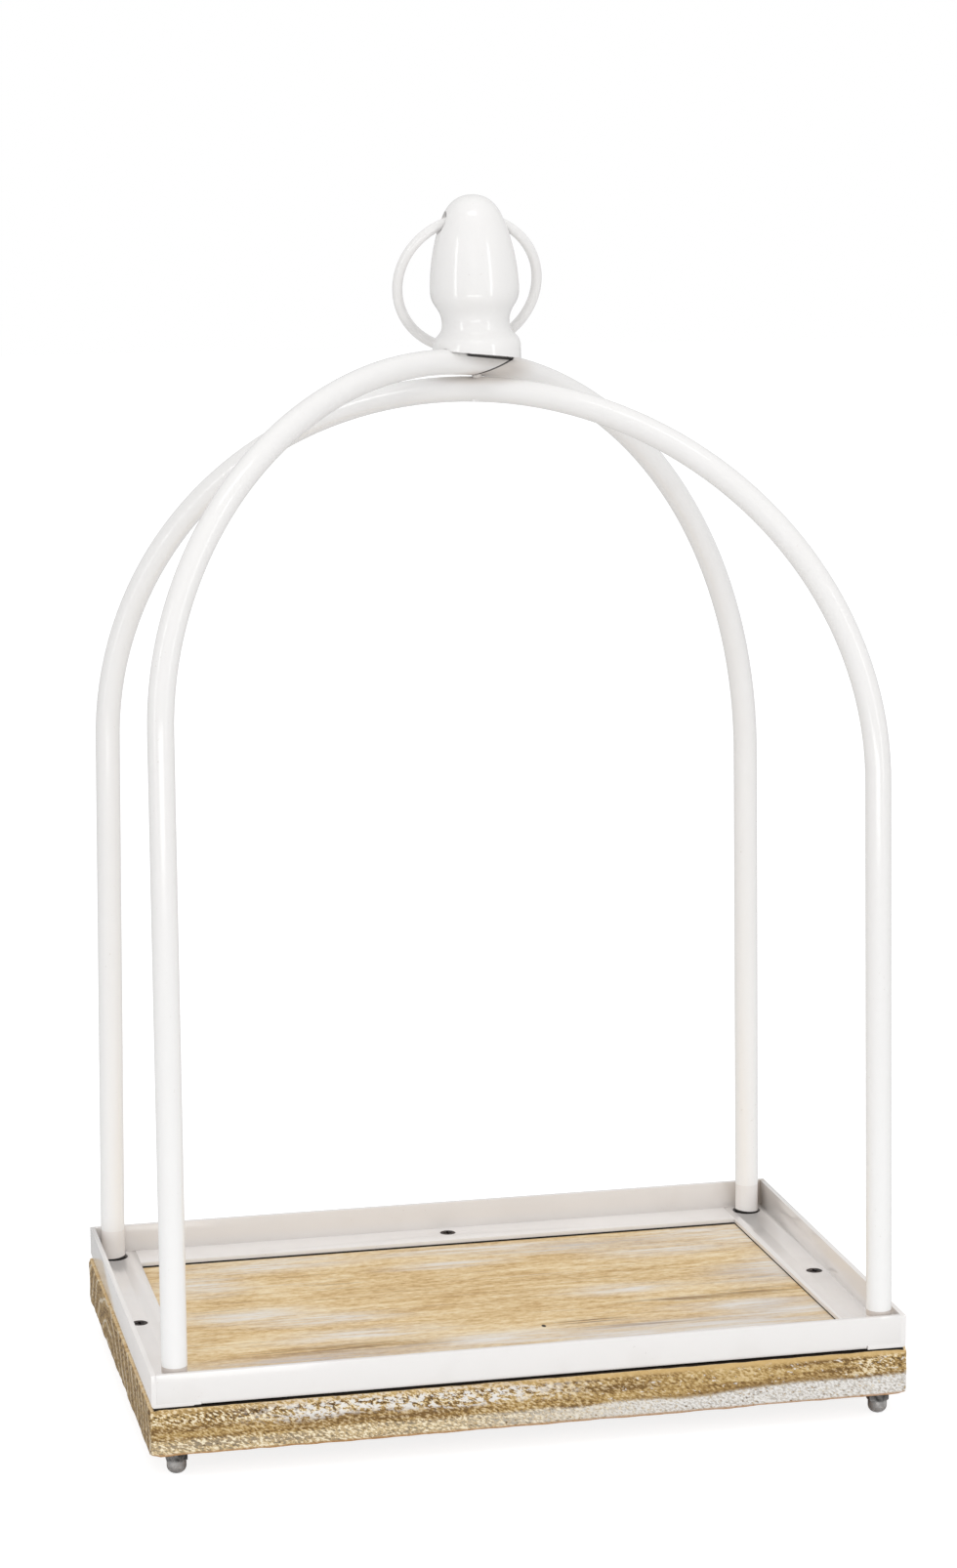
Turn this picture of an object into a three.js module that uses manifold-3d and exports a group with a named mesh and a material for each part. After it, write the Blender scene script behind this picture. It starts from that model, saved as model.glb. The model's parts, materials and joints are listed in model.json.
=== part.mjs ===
// Open metal lantern: crossed bar arches on an angle-steel tray, screwed to a wooden base.
// Millimetres, +Z up. The origin is on the floor under the middle of the base.
import * as THREE from 'three';
import { mergeVertices } from 'three/addons/utils/BufferGeometryUtils.js';
import Module from 'manifold-3d';

// Tray and base
const TRAY_WIDTH = 300;
const TRAY_DEPTH = 192;
const ANGLE_FLANGE = 19;
const ANGLE_HEIGHT = 13.4;
const ANGLE_THICKNESS = 2;
const BOARD_THICKNESS = 19;
const BOARD_OVERHANG = 1;
const BOARD_CORNER_RADIUS = 2.5;
const BOARD_EDGE_ROUND = 0.8;
const RIGHT_FLANGE_TAPER = THREE.MathUtils.degToRad(1.1);

// Bars
const BAR_DIAMETER = 10;
const MAIN_POST_INSET_X = 8.8;
const UPPER_POST_INSET_X = 10.1;
const POST_INSET_Y = 7.8;
const POST_HOLE_DIAMETER = 12;
const UPRIGHT_FOOT = 18;
const MAIN_SPRING = 224.5;
const MAIN_RISE = 150;
const MAIN_LEG_LEAN = 3.2;
const UPPER_FRONT_SPRING = 258;
const UPPER_BACK_SPRING = 205;
const UPPER_BACK_LEG_LEAN = 3.1;
const UPPER_CROWN_SHIFT = 22.4;
const SCARF_SLOPE = THREE.MathUtils.degToRad(16);
const SCARF_TOE_AT = 3.5;
const SCARF_TOE_HEIGHT = 1.8;

// Finial and ring
const FINIAL_HEIGHT = 62.2;
const FINIAL_DOME_SPREAD = 7.6;
const FINIAL_SHOULDER_RADIUS = 13;
const FINIAL_SHOULDER_HEIGHT = 50.7;
const FINIAL_SHOULDER_LEAN = 0.36;
const FINIAL_BELLY_RADIUS = 17.5;
const FINIAL_BELLY_HEIGHT = 25.2;
const FINIAL_NECK_RADIUS = 13.3;
const FINIAL_NECK_HEIGHT = 12.7;
const FINIAL_FOOT_RADIUS = 17.4;
const FINIAL_FOOT_HEIGHT = 2.7;
const FINIAL_WAIST_SWEEP = 6;
const FINIAL_TAPER_SWEEP = 8;
const FINIAL_RADIUS_UNDER_HOLE = 14.6;
const FINIAL_LEAN = THREE.MathUtils.degToRad(1.8);
const FINIAL_SADDLE_DEPTH = 2;
const RING_HOLE_DIAMETER = 9;
const RING_HOLE_HEIGHT = 51.4;
const RING_OUTER_DIAMETER = 60;
const RING_WIRE_DIAMETER = 4;
const RING_REST_ANGLE = THREE.MathUtils.degToRad(21.5);

// Fasteners
const STUD_DIAMETER = 5;
const STUD_DEPTH_IN_BAR = 14;
const NUT_ACROSS_FLATS = 8;
const NUT_HEIGHT = 9.5;
const NUT_HEX_HEIGHT = 4.2;
const NUT_DOME_RADIUS = 3.8;
const NUT_FLAT_RADIUS = 2;
const NUT_BORE_DEPTH = 6.5;
const RAIL_SCREW_INSET = 8.2;
const RIGHT_SCREW_INSET = 7;
const BACK_SCREW_SHIFT = 4.5;
const RAIL_SCREW_HEAD_DIAMETER = 6.6;
const RAIL_SCREW_SHANK_DIAMETER = 3.2;
const RAIL_SCREW_LENGTH = 15;
const RAIL_SCREW_POINT = 3;
const RAIL_SCREW_SINK = 0.2;
const CROSS_RECESS_LENGTH = 3.6;
const CROSS_RECESS_WIDTH = 1;
const CROSS_RECESS_DEPTH = 0.8;
const FINIAL_SCREW_DIAMETER = 4;
const FINIAL_SCREW_HEAD_DIAMETER = 6;
const FINIAL_SCREW_HEAD_HEIGHT = 2.6;
const FINIAL_SCREW_GRIP = 14;
const COUNTERBORE_DEPTH = 3.4;

// Fits and facets
const CLEARANCE = 0.3;
const OVERCUT = 5;
const BAR_SIDES = 16;
const ARCH_STEPS = 84;
const ROUND_SIDES = 24;
const FINIAL_SIDES = 36;
const FINIAL_CURVE_STEPS = 7;
const RING_WIRE_SIDES = 12;
const RING_STEPS = 56;
const EDGE_STEPS = 5;

// Levels and places that follow from the sizes above
const BOARD_BOTTOM = NUT_HEIGHT;
const BOARD_TOP = BOARD_BOTTOM + BOARD_THICKNESS;
const BAR_RADIUS = BAR_DIAMETER / 2;
const HALF_WIDTH = TRAY_WIDTH / 2;
const HALF_DEPTH = TRAY_DEPTH / 2;
const MAIN_POST_X = HALF_WIDTH - MAIN_POST_INSET_X;
const UPPER_POST_X = HALF_WIDTH - UPPER_POST_INSET_X;
const POST_Y = HALF_DEPTH - POST_INSET_Y;
const MAIN_HALF_SPAN = Math.hypot(MAIN_POST_X, POST_Y);
const UPPER_HALF_SPAN = Math.hypot(UPPER_POST_X, POST_Y);
const MAIN_DIAGONAL = Math.atan2(POST_Y, MAIN_POST_X);
const UPPER_DIAGONAL = Math.atan2(POST_Y, UPPER_POST_X);
const MAIN_CROWN = BOARD_TOP + MAIN_SPRING + MAIN_RISE;
const UPPER_BACK_REACH = UPPER_HALF_SPAN - UPPER_BACK_LEG_LEAN + UPPER_CROWN_SHIFT;
const CROSSING_SHARE = UPPER_CROWN_SHIFT / UPPER_BACK_REACH;
const CROSSING_LEVEL = MAIN_CROWN + BAR_DIAMETER + CLEARANCE;
const UPPER_SPRING_LEVEL = BOARD_TOP + UPPER_BACK_SPRING;
const UPPER_BACK_RISE = (CROSSING_LEVEL - UPPER_SPRING_LEVEL) / Math.sqrt(1 - CROSSING_SHARE ** 2);
const UPPER_CROWN = UPPER_SPRING_LEVEL + UPPER_BACK_RISE;
const UPPER_FRONT_RISE = UPPER_CROWN - BOARD_TOP - UPPER_FRONT_SPRING;
const CROSSING_FALL = Math.atan(
  (UPPER_BACK_RISE * CROSSING_SHARE) / (UPPER_BACK_REACH * Math.sqrt(1 - CROSSING_SHARE ** 2)),
);
const BAR_TOP_UNDER_FINIAL = CROSSING_LEVEL + BAR_RADIUS / Math.cos(CROSSING_FALL);
const FINIAL_SEAT = BAR_TOP_UNDER_FINIAL + CLEARANCE / 2 - FINIAL_SADDLE_DEPTH;
const RING_PIVOT = FINIAL_SEAT + RING_HOLE_HEIGHT;
const RING_PIVOT_X = -RING_HOLE_HEIGHT * Math.tan(FINIAL_LEAN);
const FLANGE_EDGE_X = HALF_WIDTH - ANGLE_FLANGE;
const FLANGE_EDGE_Y = HALF_DEPTH - ANGLE_FLANGE;
const RING_RADIUS = (RING_OUTER_DIAMETER - RING_WIRE_DIAMETER) / 2;
const RING_SAG_IN_HOLE = RING_RADIUS - Math.sqrt(RING_RADIUS ** 2 - FINIAL_RADIUS_UNDER_HOLE ** 2);
const RING_DROP = RING_RADIUS - RING_SAG_IN_HOLE / 2;

const CORNERS = [
  { name: 'front_left', x: -UPPER_POST_X, y: -POST_Y },
  { name: 'front_right', x: MAIN_POST_X, y: -POST_Y },
  { name: 'back_left', x: -MAIN_POST_X, y: POST_Y },
  { name: 'back_right', x: UPPER_POST_X, y: POST_Y },
];

const SIDES = [
  { name: 'left', turn: 0, reach: HALF_WIDTH, fullLength: true },
  { name: 'right', turn: Math.PI, reach: HALF_WIDTH, fullLength: true, screwInset: RIGHT_SCREW_INSET },
  { name: 'front', turn: Math.PI / 2, reach: HALF_DEPTH, fullLength: false },
  { name: 'back', turn: -Math.PI / 2, reach: HALF_DEPTH, fullLength: false, screwShift: BACK_SCREW_SHIFT },
];

const ENAMEL = { color: 0xf1eeec, roughness: 0.28, metalness: 0 };
const WOOD = { color: 0xc9a36c, roughness: 0.8, metalness: 0 };
const ZINC = { color: 0x9a9ca0, roughness: 0.35, metalness: 1 };
const BLACK_STEEL = { color: 0x2a2724, roughness: 0.5, metalness: 0.8 };

const wasm = await Module();
wasm.setup();

function toSolid(geometry) {
  const bare = new THREE.BufferGeometry();
  bare.setAttribute('position', geometry.getAttribute('position'));
  bare.setIndex(geometry.getIndex());
  const joined = mergeVertices(bare, 1e-4);
  const mesh = new wasm.Mesh({
    numProp: 3,
    vertProperties: Float32Array.from(joined.getAttribute('position').array),
    triVerts: Uint32Array.from(joined.getIndex().array),
  });
  return new wasm.Manifold(mesh);
}

function toGeometry(solid) {
  const mesh = solid.getMesh();
  const geometry = new THREE.BufferGeometry();
  geometry.setAttribute('position', new THREE.BufferAttribute(mesh.vertProperties, 3));
  geometry.setIndex(new THREE.BufferAttribute(mesh.triVerts, 1));
  geometry.computeVertexNormals();
  return geometry;
}

const lantern = new THREE.Group();

function addPiece(name, geometry, finish) {
  const mesh = new THREE.Mesh(geometry, new THREE.MeshStandardMaterial(finish));
  mesh.name = name;
  lantern.add(mesh);
  return mesh;
}

// An upright rod from one level to another
function uprightRod(radius, x, y, low, high) {
  const rod = new THREE.CylinderGeometry(radius, radius, high - low, ROUND_SIDES);
  return rod.rotateX(Math.PI / 2).translate(x, y, (low + high) / 2);
}

// A body turned about an upright axis, from radius and height points that start and end on the axis
function turned(points, sides = ROUND_SIDES) {
  return new THREE.LatheGeometry(points, sides).rotateX(Math.PI / 2);
}

// The middle of a rail's lying flange, where its screw goes
function railScrewPlace(side) {
  const inset = side.screwInset ?? RAIL_SCREW_INSET;
  const place = new THREE.Vector3(inset - side.reach, 0, 0);
  place.applyAxisAngle(new THREE.Vector3(0, 0, 1), side.turn);
  place.x += side.screwShift ?? 0;
  return place;
}

// A countersunk wood screw in its rail, or with some room round it the drill that cuts its seat
function railScrewAt(side, room) {
  const headRadius = RAIL_SCREW_HEAD_DIAMETER / 2 + room;
  const shankRadius = RAIL_SCREW_SHANK_DIAMETER / 2 + room;
  const outline = [
    new THREE.Vector2(0, -RAIL_SCREW_LENGTH - room),
    new THREE.Vector2(shankRadius, RAIL_SCREW_POINT - RAIL_SCREW_LENGTH - room),
    new THREE.Vector2(shankRadius, shankRadius - headRadius - RAIL_SCREW_SINK),
    new THREE.Vector2(headRadius, -RAIL_SCREW_SINK),
  ];
  if (room > 0) {
    outline.push(new THREE.Vector2(headRadius, OVERCUT));
  }
  outline.push(new THREE.Vector2(0, outline.at(-1).y));
  const place = railScrewPlace(side);
  return turned(outline).translate(place.x, place.y, BOARD_TOP + ANGLE_THICKNESS);
}

// Base board: a rounded slab, drilled for the studs and the rail screws
function makeBoard() {
  const halfX = HALF_WIDTH + BOARD_OVERHANG;
  const halfY = HALF_DEPTH + BOARD_OVERHANG;
  const round = BOARD_CORNER_RADIUS;
  const outline = new THREE.Shape();
  outline.absarc(halfX - round, halfY - round, round, 0, Math.PI / 2);
  outline.absarc(-halfX + round, halfY - round, round, Math.PI / 2, Math.PI);
  outline.absarc(-halfX + round, -halfY + round, round, Math.PI, 1.5 * Math.PI);
  outline.absarc(halfX - round, -halfY + round, round, 1.5 * Math.PI, 2 * Math.PI);
  const slab = new THREE.ExtrudeGeometry(outline, {
    depth: BOARD_THICKNESS - 2 * BOARD_EDGE_ROUND,
    bevelThickness: BOARD_EDGE_ROUND,
    bevelSize: BOARD_EDGE_ROUND,
    bevelOffset: -BOARD_EDGE_ROUND,
    bevelSegments: 2,
    curveSegments: EDGE_STEPS,
  });
  slab.translate(0, 0, BOARD_BOTTOM + BOARD_EDGE_ROUND);
  let board = toSolid(slab);
  for (const corner of CORNERS) {
    const radius = STUD_DIAMETER / 2 + CLEARANCE;
    const bore = uprightRod(radius, corner.x, corner.y, BOARD_BOTTOM - OVERCUT, BOARD_TOP + OVERCUT);
    board = board.subtract(toSolid(bore));
  }
  for (const side of SIDES) {
    board = board.subtract(toSolid(railScrewAt(side, CLEARANCE)));
  }
  return toGeometry(board);
}

// One angle rail: outer face at -reach, lying flange pointing inward, bent with a rounded heel
function makeRail(side) {
  const profile = new THREE.Shape();
  profile.moveTo(ANGLE_FLANGE, 0);
  profile.lineTo(ANGLE_FLANGE, ANGLE_THICKNESS);
  profile.lineTo(ANGLE_THICKNESS, ANGLE_THICKNESS);
  profile.lineTo(ANGLE_THICKNESS, ANGLE_HEIGHT);
  profile.lineTo(0, ANGLE_HEIGHT);
  profile.lineTo(0, ANGLE_THICKNESS);
  profile.absarc(ANGLE_THICKNESS, ANGLE_THICKNESS, ANGLE_THICKNESS, Math.PI, 1.5 * Math.PI);
  const length = side.fullLength ? TRAY_DEPTH : TRAY_WIDTH - 2 * ANGLE_THICKNESS;
  const options = { depth: length, bevelEnabled: false, curveSegments: EDGE_STEPS };
  const bar = new THREE.ExtrudeGeometry(profile, options);
  bar.rotateX(Math.PI / 2);
  bar.translate(-side.reach, length / 2, BOARD_TOP);
  bar.rotateZ(side.turn);
  let rail = toSolid(bar);
  if (side.fullLength) {
    for (const corner of CORNERS) {
      const low = BOARD_TOP - OVERCUT;
      const high = BOARD_TOP + ANGLE_HEIGHT;
      rail = rail.subtract(toSolid(uprightRod(POST_HOLE_DIAMETER / 2, corner.x, corner.y, low, high)));
    }
  } else {
    rail = rail.subtract(toSolid(sideFlangeBlock(1, -FLANGE_EDGE_X, -1, 0)));
    rail = rail.subtract(toSolid(sideFlangeBlock(1, FLANGE_EDGE_X, 1, RIGHT_FLANGE_TAPER)));
  }
  if (side.name === 'right') {
    rail = rail.subtract(toSolid(sideFlangeBlock(-1, FLANGE_EDGE_X, 1, RIGHT_FLANGE_TAPER)));
  }
  return toGeometry(rail.subtract(toSolid(railScrewAt(side, CLEARANCE))));
}

// A block at a side rail's lying flange, outside its inner edge or inside it. It takes the place of the
// side flange out of the front and back rails, and cuts the right flange narrower towards the front.
function sideFlangeBlock(outward, edgeX, direction, taper) {
  const width = ANGLE_FLANGE + OVERCUT;
  const length = 2 * TRAY_DEPTH;
  const block = new THREE.BoxGeometry(width, length, ANGLE_THICKNESS + OVERCUT);
  block.translate((outward * direction * width) / 2, 0, BOARD_TOP + (ANGLE_THICKNESS - OVERCUT) / 2);
  block.rotateZ(taper);
  return block.translate(edgeX, FLANGE_EDGE_Y, 0);
}

function makeRailScrew(side) {
  const place = railScrewPlace(side);
  const top = BOARD_TOP + ANGLE_THICKNESS - RAIL_SCREW_SINK;
  let screw = toSolid(railScrewAt(side, 0));
  for (const turn of [0, Math.PI / 2]) {
    const slot = new THREE.BoxGeometry(CROSS_RECESS_LENGTH, CROSS_RECESS_WIDTH, 2 * CROSS_RECESS_DEPTH);
    slot.rotateZ(turn);
    slot.translate(place.x, place.y, top);
    screw = screw.subtract(toSolid(slot));
  }
  return toGeometry(screw);
}

// A quarter of an ellipse standing on edge, from its spring to its crown or back down
class ShoulderCurve extends THREE.Curve {
  constructor(crownX, springLevel, reach, rise, rising) {
    super();
    Object.assign(this, { crownX, springLevel, reach, rise, rising });
  }

  getPoint(t, target = new THREE.Vector3()) {
    const angle = ((this.rising ? t : 1 - t) * Math.PI) / 2;
    const x = this.crownX + this.reach * Math.cos(angle);
    return target.set(x, 0, this.springLevel + this.rise * Math.sin(angle));
  }
}

// A bar bent over from one foot to the other, drilled for its studs and the finial screw, in the XZ plane.
// Each leg stands upright at its foot and leans in a little on its way up to the bend.
function bentBar(halfSpan, crownX, left, right) {
  const leftLevel = BOARD_TOP + left.spring;
  const rightLevel = BOARD_TOP + right.spring;
  const kneeLevel = BOARD_TOP + UPRIGHT_FOOT;
  const route = new THREE.CurvePath();
  const footLeft = new THREE.Vector3(-halfSpan, 0, BOARD_TOP);
  const footRight = new THREE.Vector3(halfSpan, 0, BOARD_TOP);
  const kneeLeft = new THREE.Vector3(-halfSpan, 0, kneeLevel);
  const kneeRight = new THREE.Vector3(halfSpan, 0, kneeLevel);
  const springLeft = new THREE.Vector3(left.lean - halfSpan, 0, leftLevel);
  const springRight = new THREE.Vector3(halfSpan - right.lean, 0, rightLevel);
  route.add(new THREE.LineCurve3(footLeft, kneeLeft));
  route.add(new THREE.LineCurve3(kneeLeft, springLeft));
  route.add(new ShoulderCurve(crownX, leftLevel, springLeft.x - crownX, left.rise, true));
  route.add(new ShoulderCurve(crownX, rightLevel, springRight.x - crownX, right.rise, false));
  route.add(new THREE.LineCurve3(springRight, kneeRight));
  route.add(new THREE.LineCurve3(kneeRight, footRight));
  const section = new THREE.Shape();
  section.absarc(0, 0, BAR_RADIUS, 0, 2 * Math.PI);
  const bar = new THREE.ExtrudeGeometry(section, {
    extrudePath: route,
    steps: ARCH_STEPS,
    curveSegments: BAR_SIDES / 2,
  });
  let solid = toSolid(bar);
  for (const foot of [footLeft, footRight]) {
    const radius = STUD_DIAMETER / 2 + CLEARANCE;
    const depth = STUD_DEPTH_IN_BAR + CLEARANCE;
    solid = solid.subtract(toSolid(uprightRod(radius, foot.x, 0, BOARD_TOP - OVERCUT, BOARD_TOP + depth)));
  }
  const screwRadius = FINIAL_SCREW_DIAMETER / 2 + CLEARANCE;
  const screwHole = uprightRod(screwRadius, 0, 0, MAIN_CROWN - BAR_DIAMETER, FINIAL_SEAT + OVERCUT);
  return solid.subtract(toSolid(screwHole));
}

// The lower arch, back left foot to front right foot, with a counterbore for the screw head
function makeMainArch() {
  const side = { spring: MAIN_SPRING, rise: MAIN_RISE, lean: MAIN_LEG_LEAN };
  const bar = bentBar(MAIN_HALF_SPAN, 0, side, side);
  const underside = MAIN_CROWN - BAR_RADIUS;
  const radius = FINIAL_SCREW_HEAD_DIAMETER / 2 + CLEARANCE;
  const counterbore = uprightRod(radius, 0, 0, underside - OVERCUT, underside + COUNTERBORE_DEPTH);
  return toGeometry(bar.subtract(toSolid(counterbore))).rotateZ(-MAIN_DIAGONAL);
}

// The block that holds the back half: its top face is the scarf cut and its end face the blunt toe
function scarfBlock(grow) {
  const length = 2 * UPPER_HALF_SPAN;
  const height = 2 * MAIN_CROWN;
  const block = new THREE.BoxGeometry(length, 2 * BAR_DIAMETER, height);
  block.translate(length / 2 - grow, 0, grow - height / 2);
  block.rotateY(-SCARF_SLOPE);
  block.translate(SCARF_TOE_AT, 0, CROSSING_LEVEL - BAR_RADIUS + SCARF_TOE_HEIGHT);
  return toSolid(block);
}

// The upper arch, front left foot to back right foot, cut in two at the scarf joint
function makeUpperHalves() {
  const frontSide = { spring: UPPER_FRONT_SPRING, rise: UPPER_FRONT_RISE, lean: 0 };
  const backSide = { spring: UPPER_BACK_SPRING, rise: UPPER_BACK_RISE, lean: UPPER_BACK_LEG_LEAN };
  const bar = bentBar(UPPER_HALF_SPAN, -UPPER_CROWN_SHIFT, frontSide, backSide);
  const front = toGeometry(bar.subtract(scarfBlock(CLEARANCE))).rotateZ(UPPER_DIAGONAL);
  const back = toGeometry(bar.intersect(scarfBlock(0))).rotateZ(UPPER_DIAGONAL);
  return { front, back };
}

// Finial: turned outline from the dome down to the foot. It leans a little to the left. Its seat is cut
// to the fall of the upper arch, with a saddle groove that the bar lies in.
function makeFinial() {
  const outline = new THREE.Path();
  outline.moveTo(0, FINIAL_HEIGHT);
  outline.bezierCurveTo(
    FINIAL_DOME_SPREAD,
    FINIAL_HEIGHT,
    FINIAL_SHOULDER_RADIUS - FINIAL_SHOULDER_LEAN * FINIAL_WAIST_SWEEP,
    FINIAL_SHOULDER_HEIGHT + FINIAL_WAIST_SWEEP,
    FINIAL_SHOULDER_RADIUS,
    FINIAL_SHOULDER_HEIGHT,
  );
  outline.bezierCurveTo(
    FINIAL_SHOULDER_RADIUS + FINIAL_SHOULDER_LEAN * FINIAL_TAPER_SWEEP,
    FINIAL_SHOULDER_HEIGHT - FINIAL_TAPER_SWEEP,
    FINIAL_BELLY_RADIUS,
    FINIAL_BELLY_HEIGHT + FINIAL_TAPER_SWEEP,
    FINIAL_BELLY_RADIUS,
    FINIAL_BELLY_HEIGHT,
  );
  outline.bezierCurveTo(
    FINIAL_BELLY_RADIUS,
    FINIAL_BELLY_HEIGHT - FINIAL_WAIST_SWEEP,
    FINIAL_NECK_RADIUS,
    FINIAL_NECK_HEIGHT + FINIAL_WAIST_SWEEP,
    FINIAL_NECK_RADIUS,
    FINIAL_NECK_HEIGHT,
  );
  outline.bezierCurveTo(
    FINIAL_NECK_RADIUS,
    FINIAL_NECK_HEIGHT - FINIAL_WAIST_SWEEP,
    FINIAL_FOOT_RADIUS,
    FINIAL_FOOT_HEIGHT + FINIAL_WAIST_SWEEP,
    FINIAL_FOOT_RADIUS,
    FINIAL_FOOT_HEIGHT,
  );
  outline.lineTo(FINIAL_FOOT_RADIUS, -OVERCUT);
  outline.lineTo(0, -OVERCUT);
  const body = turned(outline.getPoints(FINIAL_CURVE_STEPS).reverse(), FINIAL_SIDES);
  body.rotateY(-FINIAL_LEAN);
  body.translate(0, 0, FINIAL_SEAT);
  let finial = toSolid(body);

  const below = new THREE.BoxGeometry(4 * FINIAL_FOOT_RADIUS, 4 * FINIAL_FOOT_RADIUS, 4 * OVERCUT);
  below.translate(0, 0, -2 * OVERCUT);
  below.rotateY(CROSSING_FALL);
  below.rotateZ(UPPER_DIAGONAL);
  below.translate(0, 0, FINIAL_SEAT);
  finial = finial.subtract(toSolid(below));

  const saddleReach = 2 * FINIAL_FOOT_RADIUS;
  const saddle = uprightRod(BAR_RADIUS + CLEARANCE, 0, 0, -saddleReach, saddleReach);
  saddle.rotateY(Math.PI / 2 + CROSSING_FALL);
  saddle.rotateZ(UPPER_DIAGONAL);
  saddle.translate(0, 0, CROSSING_LEVEL);
  finial = finial.subtract(toSolid(saddle));

  const holeReach = 2 * FINIAL_BELLY_RADIUS;
  const crossHole = uprightRod(RING_HOLE_DIAMETER / 2, 0, 0, -holeReach, holeReach);
  crossHole.rotateY(Math.PI / 2);
  crossHole.translate(0, 0, RING_PIVOT);
  finial = finial.subtract(toSolid(crossHole));

  const boreTop = FINIAL_SEAT + FINIAL_SCREW_GRIP + CLEARANCE;
  const bore = uprightRod(FINIAL_SCREW_DIAMETER / 2 + CLEARANCE, 0, 0, FINIAL_SEAT - OVERCUT, boreTop);
  return toGeometry(finial.subtract(toSolid(bore)));
}

// Cheese-head screw, up through the crown into the finial, head sunk in the main arch
function makeFinialScrew() {
  const headTop = MAIN_CROWN - BAR_RADIUS + COUNTERBORE_DEPTH - CLEARANCE;
  const headBottom = headTop - FINIAL_SCREW_HEAD_HEIGHT;
  return turned([
    new THREE.Vector2(0, headBottom),
    new THREE.Vector2(FINIAL_SCREW_HEAD_DIAMETER / 2, headBottom),
    new THREE.Vector2(FINIAL_SCREW_HEAD_DIAMETER / 2, headTop),
    new THREE.Vector2(FINIAL_SCREW_DIAMETER / 2, headTop),
    new THREE.Vector2(FINIAL_SCREW_DIAMETER / 2, FINIAL_SEAT + FINIAL_SCREW_GRIP),
    new THREE.Vector2(0, FINIAL_SEAT + FINIAL_SCREW_GRIP),
  ]);
}

// Closed ring, its hinge line half way up the part of the wire that lies in the finial's hole
function makeRing() {
  const ring = new THREE.TorusGeometry(RING_RADIUS, RING_WIRE_DIAMETER / 2, RING_WIRE_SIDES, RING_STEPS);
  ring.rotateX(Math.PI / 2);
  ring.translate(0, 0, -RING_DROP);
  return ring;
}

function makeStud(corner) {
  const low = BOARD_BOTTOM - NUT_BORE_DEPTH + CLEARANCE;
  return uprightRod(STUD_DIAMETER / 2, corner.x, corner.y, low, BOARD_TOP + STUD_DEPTH_IN_BAR);
}

// Domed cap nut, hexagon against the board and dome down, with the small flat that it stands on
function makeCapNut(corner) {
  const domeTop = BOARD_BOTTOM - NUT_HEX_HEIGHT / 2;
  const outline = new THREE.Path();
  outline.moveTo(0, 0);
  outline.lineTo(NUT_FLAT_RADIUS, 0);
  outline.quadraticCurveTo(NUT_DOME_RADIUS, 0, NUT_DOME_RADIUS, NUT_DOME_RADIUS);
  outline.lineTo(NUT_DOME_RADIUS, domeTop);
  outline.lineTo(0, domeTop);
  const hexRadius = NUT_ACROSS_FLATS / Math.sqrt(3);
  const hexagon = new THREE.CylinderGeometry(hexRadius, hexRadius, NUT_HEX_HEIGHT, 6);
  hexagon.rotateX(Math.PI / 2);
  hexagon.translate(0, 0, domeTop);
  const boreRadius = STUD_DIAMETER / 2 + CLEARANCE;
  const bore = uprightRod(boreRadius, 0, 0, BOARD_BOTTOM - NUT_BORE_DEPTH, BOARD_BOTTOM + OVERCUT);
  const dome = toSolid(turned(outline.getPoints(EDGE_STEPS)));
  const nut = dome.add(toSolid(hexagon)).subtract(toSolid(bore));
  return toGeometry(nut).translate(corner.x, corner.y, 0);
}

addPiece('base_board', makeBoard(), WOOD);
for (const side of SIDES) {
  addPiece(`rail_${side.name}`, makeRail(side), ENAMEL);
  addPiece(`rail_screw_${side.name}`, makeRailScrew(side), BLACK_STEEL);
}
for (const corner of CORNERS) {
  addPiece(`post_stud_${corner.name}`, makeStud(corner), ZINC);
  addPiece(`cap_nut_${corner.name}`, makeCapNut(corner), ZINC);
}
const upperHalves = makeUpperHalves();
addPiece('arch_main', makeMainArch(), ENAMEL);
addPiece('arch_front_half', upperHalves.front, ENAMEL);
addPiece('arch_back_half', upperHalves.back, ENAMEL);
addPiece('finial', makeFinial(), ENAMEL);
addPiece('finial_screw', makeFinialScrew(), ZINC);
const ring = addPiece('carry_ring', makeRing(), ENAMEL);
ring.rotation.x = RING_REST_ANGLE;
ring.position.set(RING_PIVOT_X, 0, RING_PIVOT);

export default lantern;
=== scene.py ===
# %% [markdown]
# # An open candle lantern
# Two white bars bend into arches that cross under a turned finial. They stand in a rim of steel
# angle on a whitewashed board. This notebook dresses the measured solids of that lantern: each
# large solid gets a finer twin at the same place, the small fasteners keep theirs, and every
# surface gets a painted, sawn, plated or blackened finish made of shader nodes.

# %% Load the measured solids
import json
import math
import bpy
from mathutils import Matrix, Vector


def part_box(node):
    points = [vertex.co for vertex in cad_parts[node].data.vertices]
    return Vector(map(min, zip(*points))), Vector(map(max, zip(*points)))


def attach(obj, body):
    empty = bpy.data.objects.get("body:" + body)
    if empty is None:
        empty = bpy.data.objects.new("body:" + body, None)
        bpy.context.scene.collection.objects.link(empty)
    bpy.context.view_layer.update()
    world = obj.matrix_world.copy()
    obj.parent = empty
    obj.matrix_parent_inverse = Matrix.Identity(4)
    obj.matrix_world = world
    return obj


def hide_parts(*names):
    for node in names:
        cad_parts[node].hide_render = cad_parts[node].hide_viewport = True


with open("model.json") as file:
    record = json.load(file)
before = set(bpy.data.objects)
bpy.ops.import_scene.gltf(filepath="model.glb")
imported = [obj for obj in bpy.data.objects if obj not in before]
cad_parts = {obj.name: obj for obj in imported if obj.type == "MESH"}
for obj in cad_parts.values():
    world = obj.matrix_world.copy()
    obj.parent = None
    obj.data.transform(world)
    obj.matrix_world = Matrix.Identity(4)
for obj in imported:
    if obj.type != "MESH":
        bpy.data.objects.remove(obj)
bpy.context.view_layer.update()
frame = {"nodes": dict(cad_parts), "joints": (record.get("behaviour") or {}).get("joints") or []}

MM = 0.001

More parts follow.
